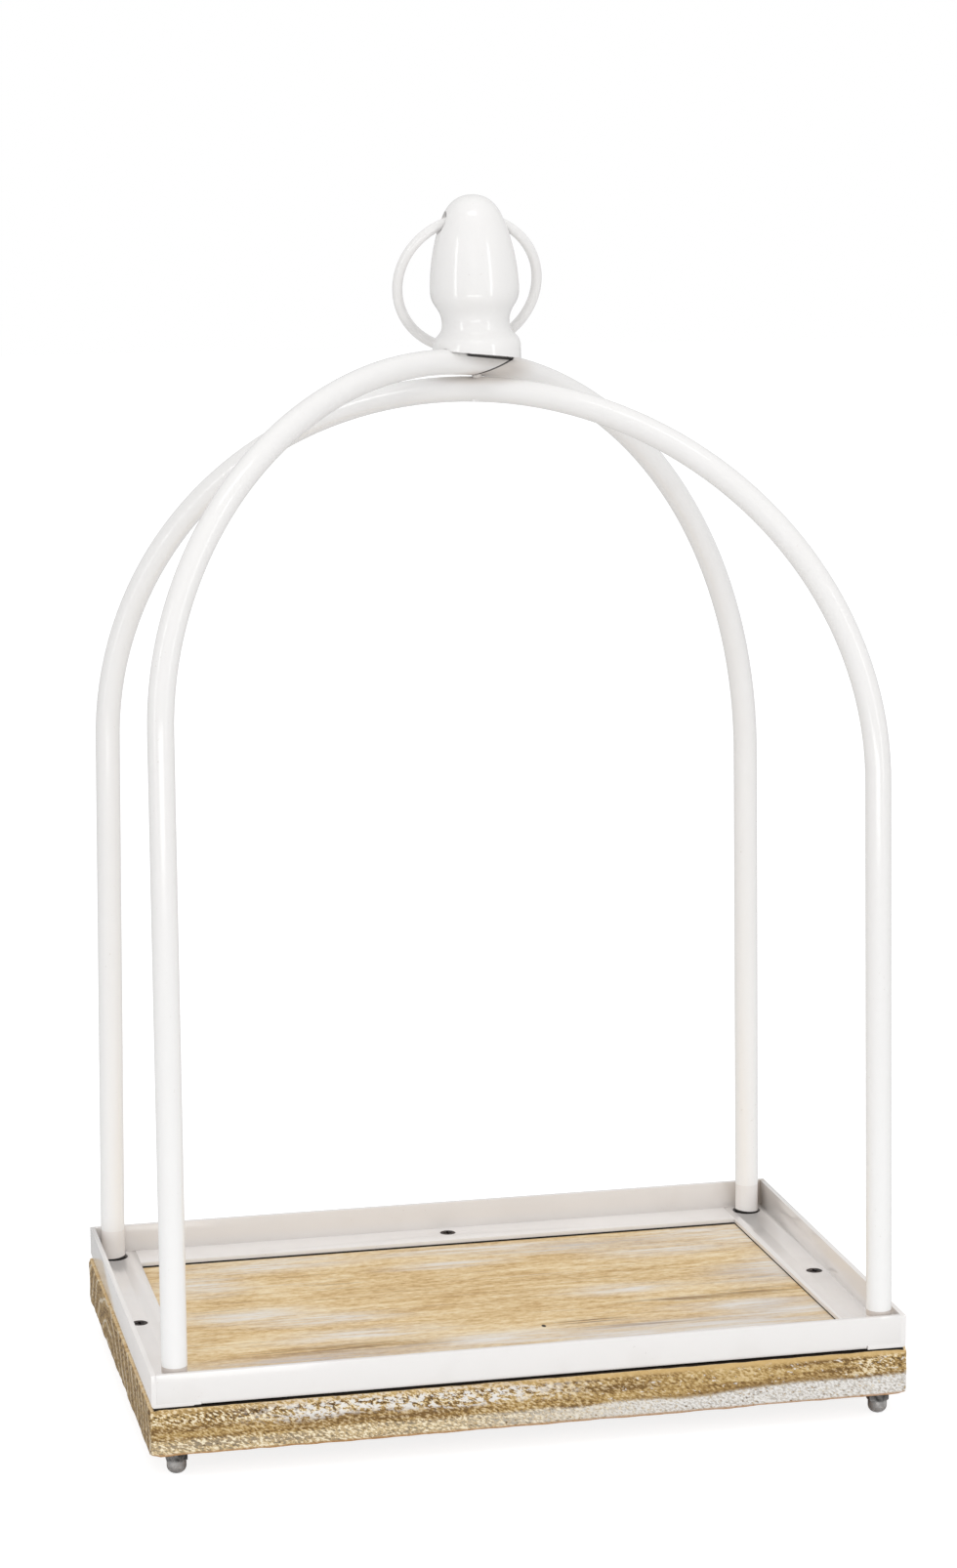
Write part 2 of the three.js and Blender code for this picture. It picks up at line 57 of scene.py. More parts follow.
# %% [markdown]
# ## Where things are
# Most sizes come from the solids themselves, so that nothing has to be fitted later. The board
# gives the floor of the tray, a rail gives the steel's height, and a nut gives a post's place.

# %% Read the main levels and places
CORNERS = ["front_left", "front_right", "back_left", "back_right"]


def middle_of(node):
    low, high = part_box(node)
    return (low + high) / 2


board_low, board_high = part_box("base_board")
rail_low, rail_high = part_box("rail_left")

BOARD_TOP = board_high.z
BOARD_BOTTOM = board_low.z
STEEL = 2 * MM
FLANGE = rail_high.x - rail_low.x
RAIL_HEIGHT = rail_high.z - rail_low.z
RAIL_TOP = rail_high.z
TRAY_X = -rail_low.x
TRAY_Y = rail_high.y
BAR_RADIUS = 5 * MM
RIGHT_TAPER = math.radians(1.1)
MIDDLE = Vector((0, 0, 0))
POSTS = {corner: middle_of("cap_nut_" + corner) for corner in CORNERS}
HINGE = Vector(frame["joints"][0]["pos_m"])
print("board top", round(BOARD_TOP, 4))
print("posts at", [tuple(round(v, 4) for v in post.xy) for post in POSTS.values()])

# %% [markdown]
# ## How the arches cross
# The lower arch runs from the back left foot to the front right foot, the upper one over it from
# front left to back right. The upper arch falls a little where they cross, because its crown sits
# to the left, so the finial's seat is cut to that fall and has a groove for the bar.

# %% Work out the crossing
MAIN_SPRING = BOARD_TOP + 224.5 * MM
MAIN_CROWN = MAIN_SPRING + 150 * MM
MAIN_LEAN = 3.2 * MM
FRONT_SPRING = BOARD_TOP + 258 * MM
BACK_SPRING = BOARD_TOP + 205 * MM
BACK_LEAN = 3.1 * MM
CROWN_SHIFT = 22.4 * MM
GAP = 0.3 * MM
SADDLE_DEPTH = 2 * MM


def span(left, right):
    run = POSTS[right] - POSTS[left]
    return math.hypot(run.x, run.y) / 2, math.atan2(run.y, run.x)


MAIN_HALF, MAIN_TURN = span("back_left", "front_right")
UPPER_HALF, UPPER_TURN = span("front_left", "back_right")
CROSSING = MAIN_CROWN + 2 * BAR_RADIUS + GAP
BACK_REACH = UPPER_HALF - BACK_LEAN + CROWN_SHIFT
LEVEL_SHARE = math.sqrt(1 - (CROWN_SHIFT / BACK_REACH) ** 2)
BACK_RISE = (CROSSING - BACK_SPRING) / LEVEL_SHARE
UPPER_CROWN = BACK_SPRING + BACK_RISE
SEAT_FALL = math.atan(BACK_RISE * CROWN_SHIFT / (BACK_REACH ** 2 * LEVEL_SHARE))
FINIAL_SEAT = CROSSING + BAR_RADIUS / math.cos(SEAT_FALL) + GAP / 2 - SADDLE_DEPTH
print("finial seat", round(FINIAL_SEAT, 5), "fall", round(math.degrees(SEAT_FALL), 2), "degrees")

# %% [markdown]
# ## The camera
# The photograph was taken with a long lens from the front left, a little above the crown. The
# place, the turn and the lens were solved from the corners of the tray, so they are plain numbers
# here. Blender measures the lens against the long side of the picture.

# %% Set up the camera
PHOTO_HEIGHT_PX = 1606
FOCAL_PX = 3788.1
SENSOR_MM = 36
CAMERA_PLACE = (-0.31974, -1.42234, 0.51896)
CAMERA_TURN_DEG = (79.356, 0.3244, -12.7175)

camera_data = bpy.data.cameras.new("photo_camera")
camera_data.sensor_width = SENSOR_MM
camera_data.lens = FOCAL_PX * SENSOR_MM / PHOTO_HEIGHT_PX
camera = bpy.data.objects.new("photo_camera", camera_data)
camera.location = CAMERA_PLACE
camera.rotation_euler = [math.radians(angle) for angle in CAMERA_TURN_DEG]
bpy.context.scene.collection.objects.link(camera)
bpy.context.scene.camera = camera
print("lens", round(camera_data.lens, 2), "mm")

# %% [markdown]
# ## Modelling helpers
# Each piece starts as a primitive and is shaped in edit mode, as it would be by hand. The
# operators work on whatever is selected, so these helpers clear the selection, pick faces or
# edges by where they are, and apply a modifier once it is set.

# %% Helpers for objects
def clear_selection():
    if bpy.context.object and bpy.context.object.mode != "OBJECT":
        bpy.ops.object.mode_set(mode="OBJECT")
    bpy.ops.object.select_all(action="DESELECT")


def pick(piece):
    clear_selection()
    piece.select_set(True)
    bpy.context.view_layer.objects.active = piece
    return piece


def settle(piece, name):
    """Names the piece and moves its place, turn and size into its mesh."""
    pick(piece)
    piece.name = name
    piece.data.name = name
    bpy.ops.object.transform_apply(location=True, rotation=True, scale=True)
    return piece


def block(low, high):
    """A box between two corners."""
    clear_selection()
    low, high = Vector(low), Vector(high)
    bpy.ops.mesh.primitive_cube_add(size=1, location=(low + high) / 2)
    bpy.context.object.scale = high - low
    return settle(bpy.context.object, "block")


def rod(radius, x, y, low, high, sides=48, top_radius=None):
    """An upright rod between two levels, or a cone where a top radius is given."""
    clear_selection()
    bpy.ops.mesh.primitive_cone_add(
        vertices=sides, radius1=radius, radius2=radius if top_radius is None else top_radius,
        depth=high - low, location=(x, y, (low + high) / 2))
    return settle(bpy.context.object, "rod")


def modify(piece, kind, **settings):
    """Adds a modifier, sets it and applies it."""
    pick(piece)
    modifier = piece.modifiers.new(kind.lower(), kind)
    for key, value in settings.items():
        setattr(modifier, key, value)
    bpy.ops.object.modifier_apply(modifier=modifier.name)
    return piece


def carve(piece, cutter, operation="DIFFERENCE"):
    """Cuts a piece with another one, which is used up."""
    modify(piece, "BOOLEAN", object=cutter, operation=operation, solver="EXACT")
    bpy.data.objects.remove(cutter)
    return piece


def drill(piece, radius, at, low, high):
    """Bores an upright hole between two levels."""
    return carve(piece, rod(radius, at.x, at.y, low, high, sides=24))


def round_edges(piece, width, segments):
    """Rounds every sharp edge, as thick paint does."""
    sharp = math.radians(40)
    return modify(
        piece, "BEVEL", width=width, segments=segments, limit_method="ANGLE", angle_limit=sharp)


def draw_curve(stops, resolution):
    """A Bezier curve. Each stop is a point, the handle before it and the handle after it."""
    clear_selection()
    bpy.ops.curve.primitive_bezier_curve_add()
    curve = bpy.context.object
    points = curve.data.splines[0].bezier_points
    points.add(len(stops) - 2)
    for point, (at, before, after) in zip(points, stops):
        point.handle_left_type = point.handle_right_type = "FREE"
        point.co = at
        point.handle_left = before
        point.handle_right = after
    curve.data.dimensions = "3D"
    curve.data.resolution_u = resolution
    return curve


def smooth(piece, degrees=35):
    pick(piece)
    bpy.ops.object.shade_smooth_by_angle(angle=math.radians(degrees))
    return piece


# %% Helpers for edit mode
SELECT_MODES = {"vertices": "VERT", "edges": "EDGE", "polygons": "FACE"}


def edit_all(piece):
    pick(piece)
    bpy.ops.object.mode_set(mode="EDIT")
    bpy.ops.mesh.select_mode(type="FACE")
    bpy.ops.mesh.select_all(action="SELECT")


def leave_edit():
    bpy.ops.object.mode_set(mode="OBJECT")


def extrude(*step):
    bpy.ops.mesh.extrude_region_move(TRANSFORM_OT_translate={"value": step})


def choose(piece, kind, test):
    """Goes into edit mode with only those vertices, edges or faces selected that pass the test."""
    edit_all(piece)
    bpy.ops.mesh.select_mode(type=SELECT_MODES[kind])
    bpy.ops.mesh.select_all(action="DESELECT")
    leave_edit()
    for item in getattr(piece.data, kind):
        item.select = bool(test(item))
    bpy.ops.object.mode_set(mode="EDIT")


def bevel_edges(piece, test, offset, segments):
    choose(piece, "edges", test)
    bpy.ops.mesh.bevel(offset=offset, segments=segments, affect="EDGES")
    leave_edit()


def edge_middle(piece, edge):
    first, second = edge.vertices
    return (piece.data.vertices[first].co + piece.data.vertices[second].co) / 2


def edge_run(piece, edge):
    first, second = edge.vertices
    return piece.data.vertices[second].co - piece.data.vertices[first].co


def near(value, target, room=0.05 * MM):
    return abs(value - target) < room


print("modelling helpers ready")

# %% [markdown]
# ## Shader helpers
# A finish is easier to read as sums than as a web of nodes. `Value` wraps one output of a node
# and turns Python's operators into Math nodes. `Finish` is one set of nodes: its `node` method
# adds any node, sets it up and links or fills its sockets.

# %% Values that can be added and multiplied
def operator(operation, swapped=False):
    """A method that adds a Math node for two values, in turned order where Python swaps them."""
    def apply(self, other):
        first, second = (other, self) if swapped else (self, other)
        return self.math(operation, first, second)
    return apply


class Value:
    def __init__(self, finish, output):
        self.finish = finish
        self.output = output

    def math(self, operation, first, second, clamp=False):
        settings = {"operation": operation, "use_clamp": clamp}
        return self.finish.node("ShaderNodeMath", settings, {0: first, 1: second})

    __add__, __radd__ = operator("ADD"), operator("ADD", swapped=True)
    __sub__, __rsub__ = operator("SUBTRACT"), operator("SUBTRACT", swapped=True)
    __mul__, __rmul__ = operator("MULTIPLY"), operator("MULTIPLY", swapped=True)
    __truediv__ = operator("DIVIDE")
    __pow__ = operator("POWER")
    most = operator("MAXIMUM")

    def __abs__(self):
        return self.math("ABSOLUTE", self, 0)

    def limited(self):
        return self.math("ADD", self, 0, clamp=True)

    def climb(self, low, high):
        """0 at low, 1 at high and a smooth step between them. Low may be the greater one."""
        settings = {"interpolation_type": "SMOOTHSTEP"}
        ends = {1: min(low, high), 2: max(low, high), 3: float(low > high), 4: float(low < high)}
        return self.finish.node("ShaderNodeMapRange", settings, {0: self, **ends})


# %% A set of nodes
class Finish:
    def __init__(self, owner):
        owner.use_nodes = True
        self.owner = owner
        self.tree = owner.node_tree
        self.tree.nodes.clear()

    def node(self, kind, settings=None, sockets=None, output=0):
        made = self.tree.nodes.new(kind)
        for key, value in (settings or {}).items():
            if key == "stops":
                self.set_stops(made.color_ramp.elements, value)
            else:
                setattr(made, key, value)
        for key, value in (sockets or {}).items():
            if isinstance(value, Value):
                self.tree.links.new(value.output, made.inputs[key])
            else:
                made.inputs[key].default_value = value
        return Value(self, made.outputs[output]) if made.outputs else made

    def set_stops(self, elements, stops):
        while len(elements) < len(stops):
            elements.new(1.0)
        for element, (position, colour) in zip(elements, stops):
            element.position = position
            element.color = (*colour, 1)

    def place(self, size=(1000, 1000, 1000), middle=(0, 0, 0), tilt=0):
        """The place on the piece, counted from a middle in steps of a size in millimetres."""
        here = self.node("ShaderNodeTexCoord", output="Object")
        steps = [side * MM for side in size]
        sockets = {"Vector": here, "Location": middle, "Rotation": (0, tilt, 0), "Scale": steps}
        return self.node("ShaderNodeMapping", {"vector_type": "TEXTURE"}, sockets)

    def facing(self, axis):
        outward = self.node("ShaderNodeTexCoord", output="Normal")
        return self.node("ShaderNodeSeparateXYZ", sockets={0: outward}, output=axis)

    def along(self, axis):
        return self.node("ShaderNodeSeparateXYZ", sockets={0: self.place()}, output=axis)

    def noise(self, size, detail=2.0, roughness=0.5, seed=0, tilt=0):
        """Cloudy noise with bumps of that size in millimetres, as one number or one for each axis."""
        size = size if isinstance(size, tuple) else (size, size, size)
        spot = self.place(size, (0.37 * seed, 0.11 * seed, 0.23 * seed), tilt)
        return self.node("ShaderNodeTexNoise", sockets={
            "Vector": spot, "Scale": 1.0, "Detail": detail, "Roughness": roughness})

    def away(self, middle, size):
        """The distance from a middle, as a share of a half size in millimetres for each axis."""
        settings = {"operation": "LENGTH"}
        return self.node("ShaderNodeVectorMath", settings, {0: self.place(size, middle)}, output="Value")

    def ramp(self, factor, stops):
        return self.node("ShaderNodeValToRGB", {"stops": stops}, {0: factor})

    def mix(self, factor, first, second):
        first = (*first, 1) if isinstance(first, tuple) else first
        second = (*second, 1) if isinstance(second, tuple) else second
        settings = {"data_type": "RGBA", "clamp_factor": True}
        return self.node("ShaderNodeMix", settings, {0: factor, 6: first, 7: second}, output=2)

    def bump(self, height, strength, depth):
        sockets = {"Height": height, "Strength": strength, "Distance": depth}
        return self.node("ShaderNodeBump", sockets=sockets)

    def surface(self, sockets):
        shader = self.node("ShaderNodeBsdfPrincipled", sockets=sockets)
        self.node("ShaderNodeOutputMaterial", sockets={"Surface": shader})
        return self.owner


def new_finish(name):
    return Finish(bpy.data.materials.new(name))


def dress(piece, material, replaces=(), body="frame"):
    """Gives a piece its finish, hides the solids it stands in for and parents it to the body it moves
    with.
    """
    piece.data.materials.clear()
    piece.data.materials.append(material)
    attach(piece, body)
    if replaces:
        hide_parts(*replaces)
    print(piece.name, len(piece.data.polygons), "faces")


print("shader helpers ready")

# %% [markdown]
# ## White enamel
# The steel is sprayed with a thick glossy white. Up close it has the slow ripple of sprayed
# paint, a faint unevenness in its tone and tiny specks of dust caught in the coat. Paint does not
# reach into the joint of the upper arch, so that joint is dark. Painted shadow darkens the heel of
# the rails, the line under the finial, the feet of the back posts and a brown ring round the front
# posts. Painted light makes the posts whitest low down, and painted beige shade and bounce light
# tint the tray and the inside of the rim, with a painted brown shade in the back right corner.

# %% Colours of the enamel
ENAMEL_WHITE = (0.885, 0.875, 0.866)
ENAMEL_SHADE = (0.845, 0.828, 0.812)
POST_LIT_WHITE = (0.965, 0.962, 0.955)
BEIGE_SHADE = (0.70, 0.645, 0.60)
TRAY_BOUNCE_WHITE = (0.88, 0.840, 0.812)
GRIME_AND_SHADE_BROWN = (0.50, 0.43, 0.36)
POST_RING_SHADE = (0.45, 0.35, 0.28)
SHADOW_AND_JOINT_DARK = (0.012, 0.010, 0.009)


# %% Find the places by the rim and the posts
POST_REACH = 5.6
HOLE_REACH = 5.4


def by_post(finish, corner, reach):
    """1 within a reach in millimetres of a post's middle line, and 0 outside it."""
    far = 1e6
    return finish.away(POSTS[corner], (reach, reach, far)).climb(1.03, 0.97)


def below(finish, level):
    """1 below a level that may change over the piece, and 0 above it."""
    return (level - finish.along("Z")).climb(-0.1 * MM, 0.1 * MM)


def inward_face(paint, axis, outside):
    """1 on the inner face of the rail whose outer face is that far along an axis."""
    at_rail = paint.along(axis).climb(outside - 2.7 * MM, outside - 2.2 * MM)
    return at_rail * paint.facing(axis).climb(-0.4, -0.6)


# Painted shade: a beige tint on the inner faces of the back and right rails.
def inside_rim_shade(paint):
    faces = inward_face(paint, "Y", TRAY_Y) * 0.5 + inward_face(paint, "X", TRAY_X) * 0.25
    return faces.limited() * below(paint, RAIL_TOP + MM)


def rim_corner_shade(paint):
    """Painted brown shade in the inside corner at the back right, and a little of it along the back
    rail.
    """
    length = paint.along("X")
    at_corner = length.climb(TRAY_X - 9 * MM, TRAY_X - 2 * MM)
    beside = length.climb(TRAY_X - 60 * MM, TRAY_X - 20 * MM)
    beside = beside * paint.noise((16, 16, 40)).climb(0.4, 0.65)
    darkening = (at_corner * 0.75).most(beside * 0.3)
    at_back = paint.along("Y").climb(TRAY_Y - 6 * MM, TRAY_Y - 2 * MM)
    at_back = at_back * paint.along("Z").climb(BOARD_TOP + MM, BOARD_TOP + 4 * MM)
    return darkening * at_back * below(paint, RAIL_TOP + MM)


def heel_shadow(paint):
    """Painted shadow along the foot of the rails, widest under the front rail."""
    length, edge_x = paint.along("X"), TRAY_X - FLANGE
    front = paint.along("Y").climb(-TRAY_Y + 2 * MM, -TRAY_Y + 1.5 * MM)
    right_end = front * length.climb(edge_x + 2.5 * MM, edge_x + 3 * MM)
    left_face = length.climb(-TRAY_X + 0.7 * MM, -TRAY_X + 0.4 * MM)
    left_end = front * length.climb(-edge_x - 2.5 * MM, -edge_x - 3 * MM)
    reach = 0.35 + front * 0.4 - left_end * 0.3 - right_end * 0.4 - left_face * 4
    return below(paint, BOARD_TOP + reach * MM)


def hole_shade(paint, corner, slope):
    """The dark foot of a back post where it goes down into its hole."""
    across = paint.along("X") - POSTS[corner].x
    foot = BOARD_TOP + STEEL + 0.6 * MM + across * slope
    return by_post(paint, corner, HOLE_REACH) * below(paint, foot)


def shaded_post_rings(paint):
    """A painted brown shade ring round the front posts, at the height of the rim."""
    posts = by_post(paint, "front_left", POST_REACH) + by_post(paint, "front_right", POST_REACH)
    ring = below(paint, RAIL_TOP + 1.1 * MM) * (1 - below(paint, RAIL_TOP - 1.2 * MM))
    return posts.limited() * ring


# %% Find the places at the crown
LAP_SLOPE = math.radians(16)
LAP_TOE = Vector((-1.0 * MM, 0, CROSSING - 4 * MM))


def along_upper_arch(paint):
    return paint.along("X") * math.cos(UPPER_TURN) + paint.along("Y") * math.sin(UPPER_TURN)


# Painted shadow: a dark band on the bar just under the finial's rim.
def shadow_under_finial(paint):
    height = paint.along("Z") - FINIAL_SEAT + along_upper_arch(paint) * math.tan(SEAT_FALL)
    band = height.climb(-1.2 * MM, -0.9 * MM) * height.climb(0.05 * MM, -0.15 * MM)
    band = band * along_upper_arch(paint).climb(-10.5 * MM, -8.5 * MM)
    return band * paint.away((0, 0, FINIAL_SEAT), (17, 17, 40)).climb(1.0, 0.92)


def above_lap(paint):
    return paint.along("Z") - LAP_TOE.z - (along_upper_arch(paint) - LAP_TOE.x) * math.tan(LAP_SLOPE)


def lap_line(paint):
    at_crown = paint.away((0, 0, CROSSING), (24, 24, 7)).climb(1.0, 0.9)
    return abs(above_lap(paint)).climb(0.45 * MM, 0.2 * MM) * at_crown


def lap_shade(paint):
    """The soft beige shade on the bar that goes on past the joint, and between the two arches."""
    past = paint.away((0.008, 0.005, CROSSING - 2 * MM), (24, 24, 9)).climb(1.0, 0.3)
    past = past * above_lap(paint).climb(0.1 * MM, -0.3 * MM)
    between = paint.away((0, 0, MAIN_CROWN + BAR_RADIUS), (30, 30, 3.6)).climb(1.0, 0.2)
    under = paint.away((0.004, 0.002, FINIAL_SEAT - 1.5 * MM), (16, 16, 5)).climb(1.0, 0.4)
    under = under * below(paint, FINIAL_SEAT - 0.6 * MM)
    return past.most(between).most(under * 0.5)


# %% Find the tone, the grime and the bare gaps
def enamel_tone(paint, cloud):
    in_tray = below(paint, RAIL_TOP + MM)
    # Painted light: the posts are made whiter, most of all low down.
    lit_posts = paint.along("Z").climb(MAIN_SPRING, RAIL_TOP) * (1 - in_tray)
    # Painted bounce light: a warm tint in the tray, weaker on faces that look to the front.
    tray = in_tray * (1 - paint.facing("Y").climb(-0.5, -0.8) * 0.7)
    beige_shade = inside_rim_shade(paint) + lap_shade(paint) * 0.8
    tone = paint.mix((cloud - 0.35) * 0.8, ENAMEL_WHITE, ENAMEL_SHADE)
    tone = paint.mix(lit_posts * 0.85, tone, POST_LIT_WHITE)
    tone = paint.mix(tray * 0.85, tone, TRAY_BOUNCE_WHITE)
    return paint.mix(beige_shade.limited(), tone, BEIGE_SHADE)


def enamel_grime_and_shade(paint):
    """Specks, dust low down, a stain on the back left post and painted brown shade in one corner."""
    level = paint.along("Z")
    patch = paint.noise(16, seed=3).climb(0.5, 0.7)
    speck = paint.noise(1.1, detail=1).climb(0.72, 0.78)
    low_down = level.climb(BOARD_TOP + 20 * MM, BOARD_TOP)
    stain = level.climb(BOARD_TOP + 22 * MM, BOARD_TOP + 6 * MM)
    stain = stain * by_post(paint, "back_left", POST_REACH)
    darkening = speck * patch * 0.3 + low_down * patch * 0.06
    return (darkening + stain * 0.25 + rim_corner_shade(paint)).limited()


# Painted shadows at the heel of the rails, under the finial and at the back posts' feet, and the dark
# joint line of the upper arch.
def shadows_and_joint(paint):
    dark_lines = heel_shadow(paint) + shadow_under_finial(paint) * 0.95 + lap_line(paint) * 0.85
    for corner, slope in (("back_left", 0.09), ("back_right", -0.09)):
        dark_lines = dark_lines + hole_shade(paint, corner, slope)
    return dark_lines.limited()


# %% Make the enamel
def make_enamel():
    paint = new_finish("white_enamel")
    cloud = paint.noise(45, detail=4)
    grime_and_shade = enamel_grime_and_shade(paint)
    # Dust, stains and the painted brown corner shade darken the white.
    colour = paint.mix(grime_and_shade, enamel_tone(paint, cloud), GRIME_AND_SHADE_BROWN)
    colour = paint.mix(shaded_post_rings(paint) * 0.5, colour, POST_RING_SHADE)
    colour = paint.mix(shadows_and_joint(paint), colour, SHADOW_AND_JOINT_DARK)
    ripple = paint.noise(14, seed=1) + paint.noise(2.4) * 0.15
    return paint.surface({
        "Base Color": colour,
        "Roughness": 0.1 + cloud * 0.06 + grime_and_shade * 0.3,
        "Normal": paint.bump(ripple, strength=0.03, depth=0.25 * MM),
        "Coat Weight": 0.3,
        "Coat Roughness": 0.03,
    })


ENAMEL = make_enamel()
print("made", ENAMEL.name)

# %% [markdown]
# ## Whitewashed wood
# The board is one plank with its length along the grain, golden and finely textured on top. White
# paint was brushed on along the grain and rubbed off again, so it is left as thin veils. Those are
# set down one by one as soft ovals, and streaky noise breaks them up. The long edges are rough
# from the saw, with paint caught in the torn fibres, and the ends show the rings of the log.

# %% Colours of the wood
GRAIN_STOPS = [
    (0.38, (0.54, 0.335, 0.135)), (0.46, (0.70, 0.49, 0.24)),
    (0.53, (0.80, 0.60, 0.335)), (0.62, (0.90, 0.745, 0.50))]
GRAIN_LINE = (0.30, 0.18, 0.08)
WASH_WHITE = (0.88, 0.86, 0.83)
WASH_HAZE = (0.80, 0.76, 0.71)
WASH_GREY = (0.60, 0.555, 0.545)
KNOT = (0.03, 0.022, 0.018)
GAP_SHADE = (0.022, 0.015, 0.010)

# %% Marks on the top, each with its place, half length and half width in millimetres
WASH_STROKES = [
    (-98, 3, 40, 14), (-66, -8, 44, 11), (-57, -30, 50, 13), (-110, 46, 26, 22),
    (-80, 66, 56, 14), (-5, 50, 40, 8), (10, 68, 70, 8), (-4, -47, 46, 13),
    (90, 48, 46, 12), (126, 62, 38, 28), (63, 1, 40, 10), (97, -29, 40, 9),
    (116, -41, 40, 10), (132, 20, 18, 26), (70, -54, 84, 15), (112, 70, 40, 9)]
GREY_STROKES = [
    (72, -52, 110, 20), (-80, -55, 90, 12), (122, 8, 34, 22), (116, -36, 44, 18), (60, 62, 70, 12)]
DARK_STROKES = [
    (81, -17, 34, 5), (112, -14, 36, 6), (36, -35, 22, 4), (60, -44, 40, 4),
    (-60, -45, 60, 7), (121, 4, 9, 3), (133, 2, 8, 3), (134, 46, 7, 3)]
GOLD_STROKES = [
    (0, 20, 80, 34), (-70, -18, 60, 12), (-60, -46, 70, 9), (100, 20, 50, 16), (30, -20, 60, 14)]
KNOT_MARK = (17.1, -36.8, 1.1, 1.8)
MARK_DEPTH = 1000


# %% Make the planed top of the board
def mark(wood, x, y, long, wide):
    """The distance from the middle of an oval mark, 1 on its edge."""
    return wood.away((x * MM, y * MM, BOARD_TOP), (long, wide, MARK_DEPTH))


def strokes(wood, marks):
    """1 in the middle of each oval mark on the top, fading to 0 between them."""
    whole, *others = [mark(wood, *place).climb(1.1, 0.0) for place in marks]
    for oval in others:
        whole = whole.most(oval)
    return whole


def planed_top(wood):
    fine = wood.noise((3.6, 1.4, 1.4), detail=3, roughness=0.65)
    medium = wood.noise((26, 3.4, 3.4), detail=3, seed=2)
    broad = wood.noise((90, 16, 16), detail=2, seed=5)
    grain = fine * 0.45 + medium * 0.33 + broad * 0.22 - strokes(wood, GOLD_STROKES) * 0.03 + 0.012
    tone = wood.ramp(grain, GRAIN_STOPS)
    line = wood.noise((40, 1.3, 1.3), detail=3, roughness=0.6, seed=4)
    dark = strokes(wood, DARK_STROKES) * line.climb(0.40, 0.56)
    tone = wood.mix((line.climb(0.58, 0.72) * 0.4 + dark).limited(), tone, GRAIN_LINE)
    streak = wood.noise((30, 2.6, 2.6), detail=5, roughness=0.62, seed=7).climb(0.40, 0.60)
    broken = streak * (0.55 + fine * 0.9).limited()
    grey = strokes(wood, GREY_STROKES) * (0.45 + broken * 0.55)
    faint = wood.noise((55, 2.0, 2.0), detail=4, seed=11).climb(0.58, 0.74) * 0.3
    white = strokes(wood, WASH_STROKES) * (0.32 + broken * 0.6) + faint
    tone = wood.mix(grey * 0.85, tone, WASH_GREY)
    veil = wood.mix(streak * 0.6, WASH_HAZE, WASH_WHITE)
    tone = wood.mix((white * 0.95).limited(), tone, veil)
    knot = mark(wood, *KNOT_MARK).climb(1.0, 0.6)
    height = fine * 0.6 - line.climb(0.55, 0.7) * 0.4 + white * 0.2
    return wood.mix(knot, tone, KNOT), height


# %% Make the sawn edges
EDGE_STOPS = [
    (0.40, (0.22, 0.125, 0.040)), (0.47, (0.40, 0.25, 0.086)),
    (0.54, (0.54, 0.365, 0.14)), (0.62, (0.70, 0.52, 0.26))]
EDGE_PIT = (0.080, 0.046, 0.018)
EDGE_CREAM = (0.95, 0.85, 0.64)
EDGE_GOLD_HIGHLIGHT = (0.66, 0.45, 0.19)
EDGE_BROWN = (0.20, 0.115, 0.045)
EDGE_GREY = (0.62, 0.595, 0.56)
ARRIS_BROWN = (0.44, 0.215, 0.07)
FLECK_TILT = math.radians(24)


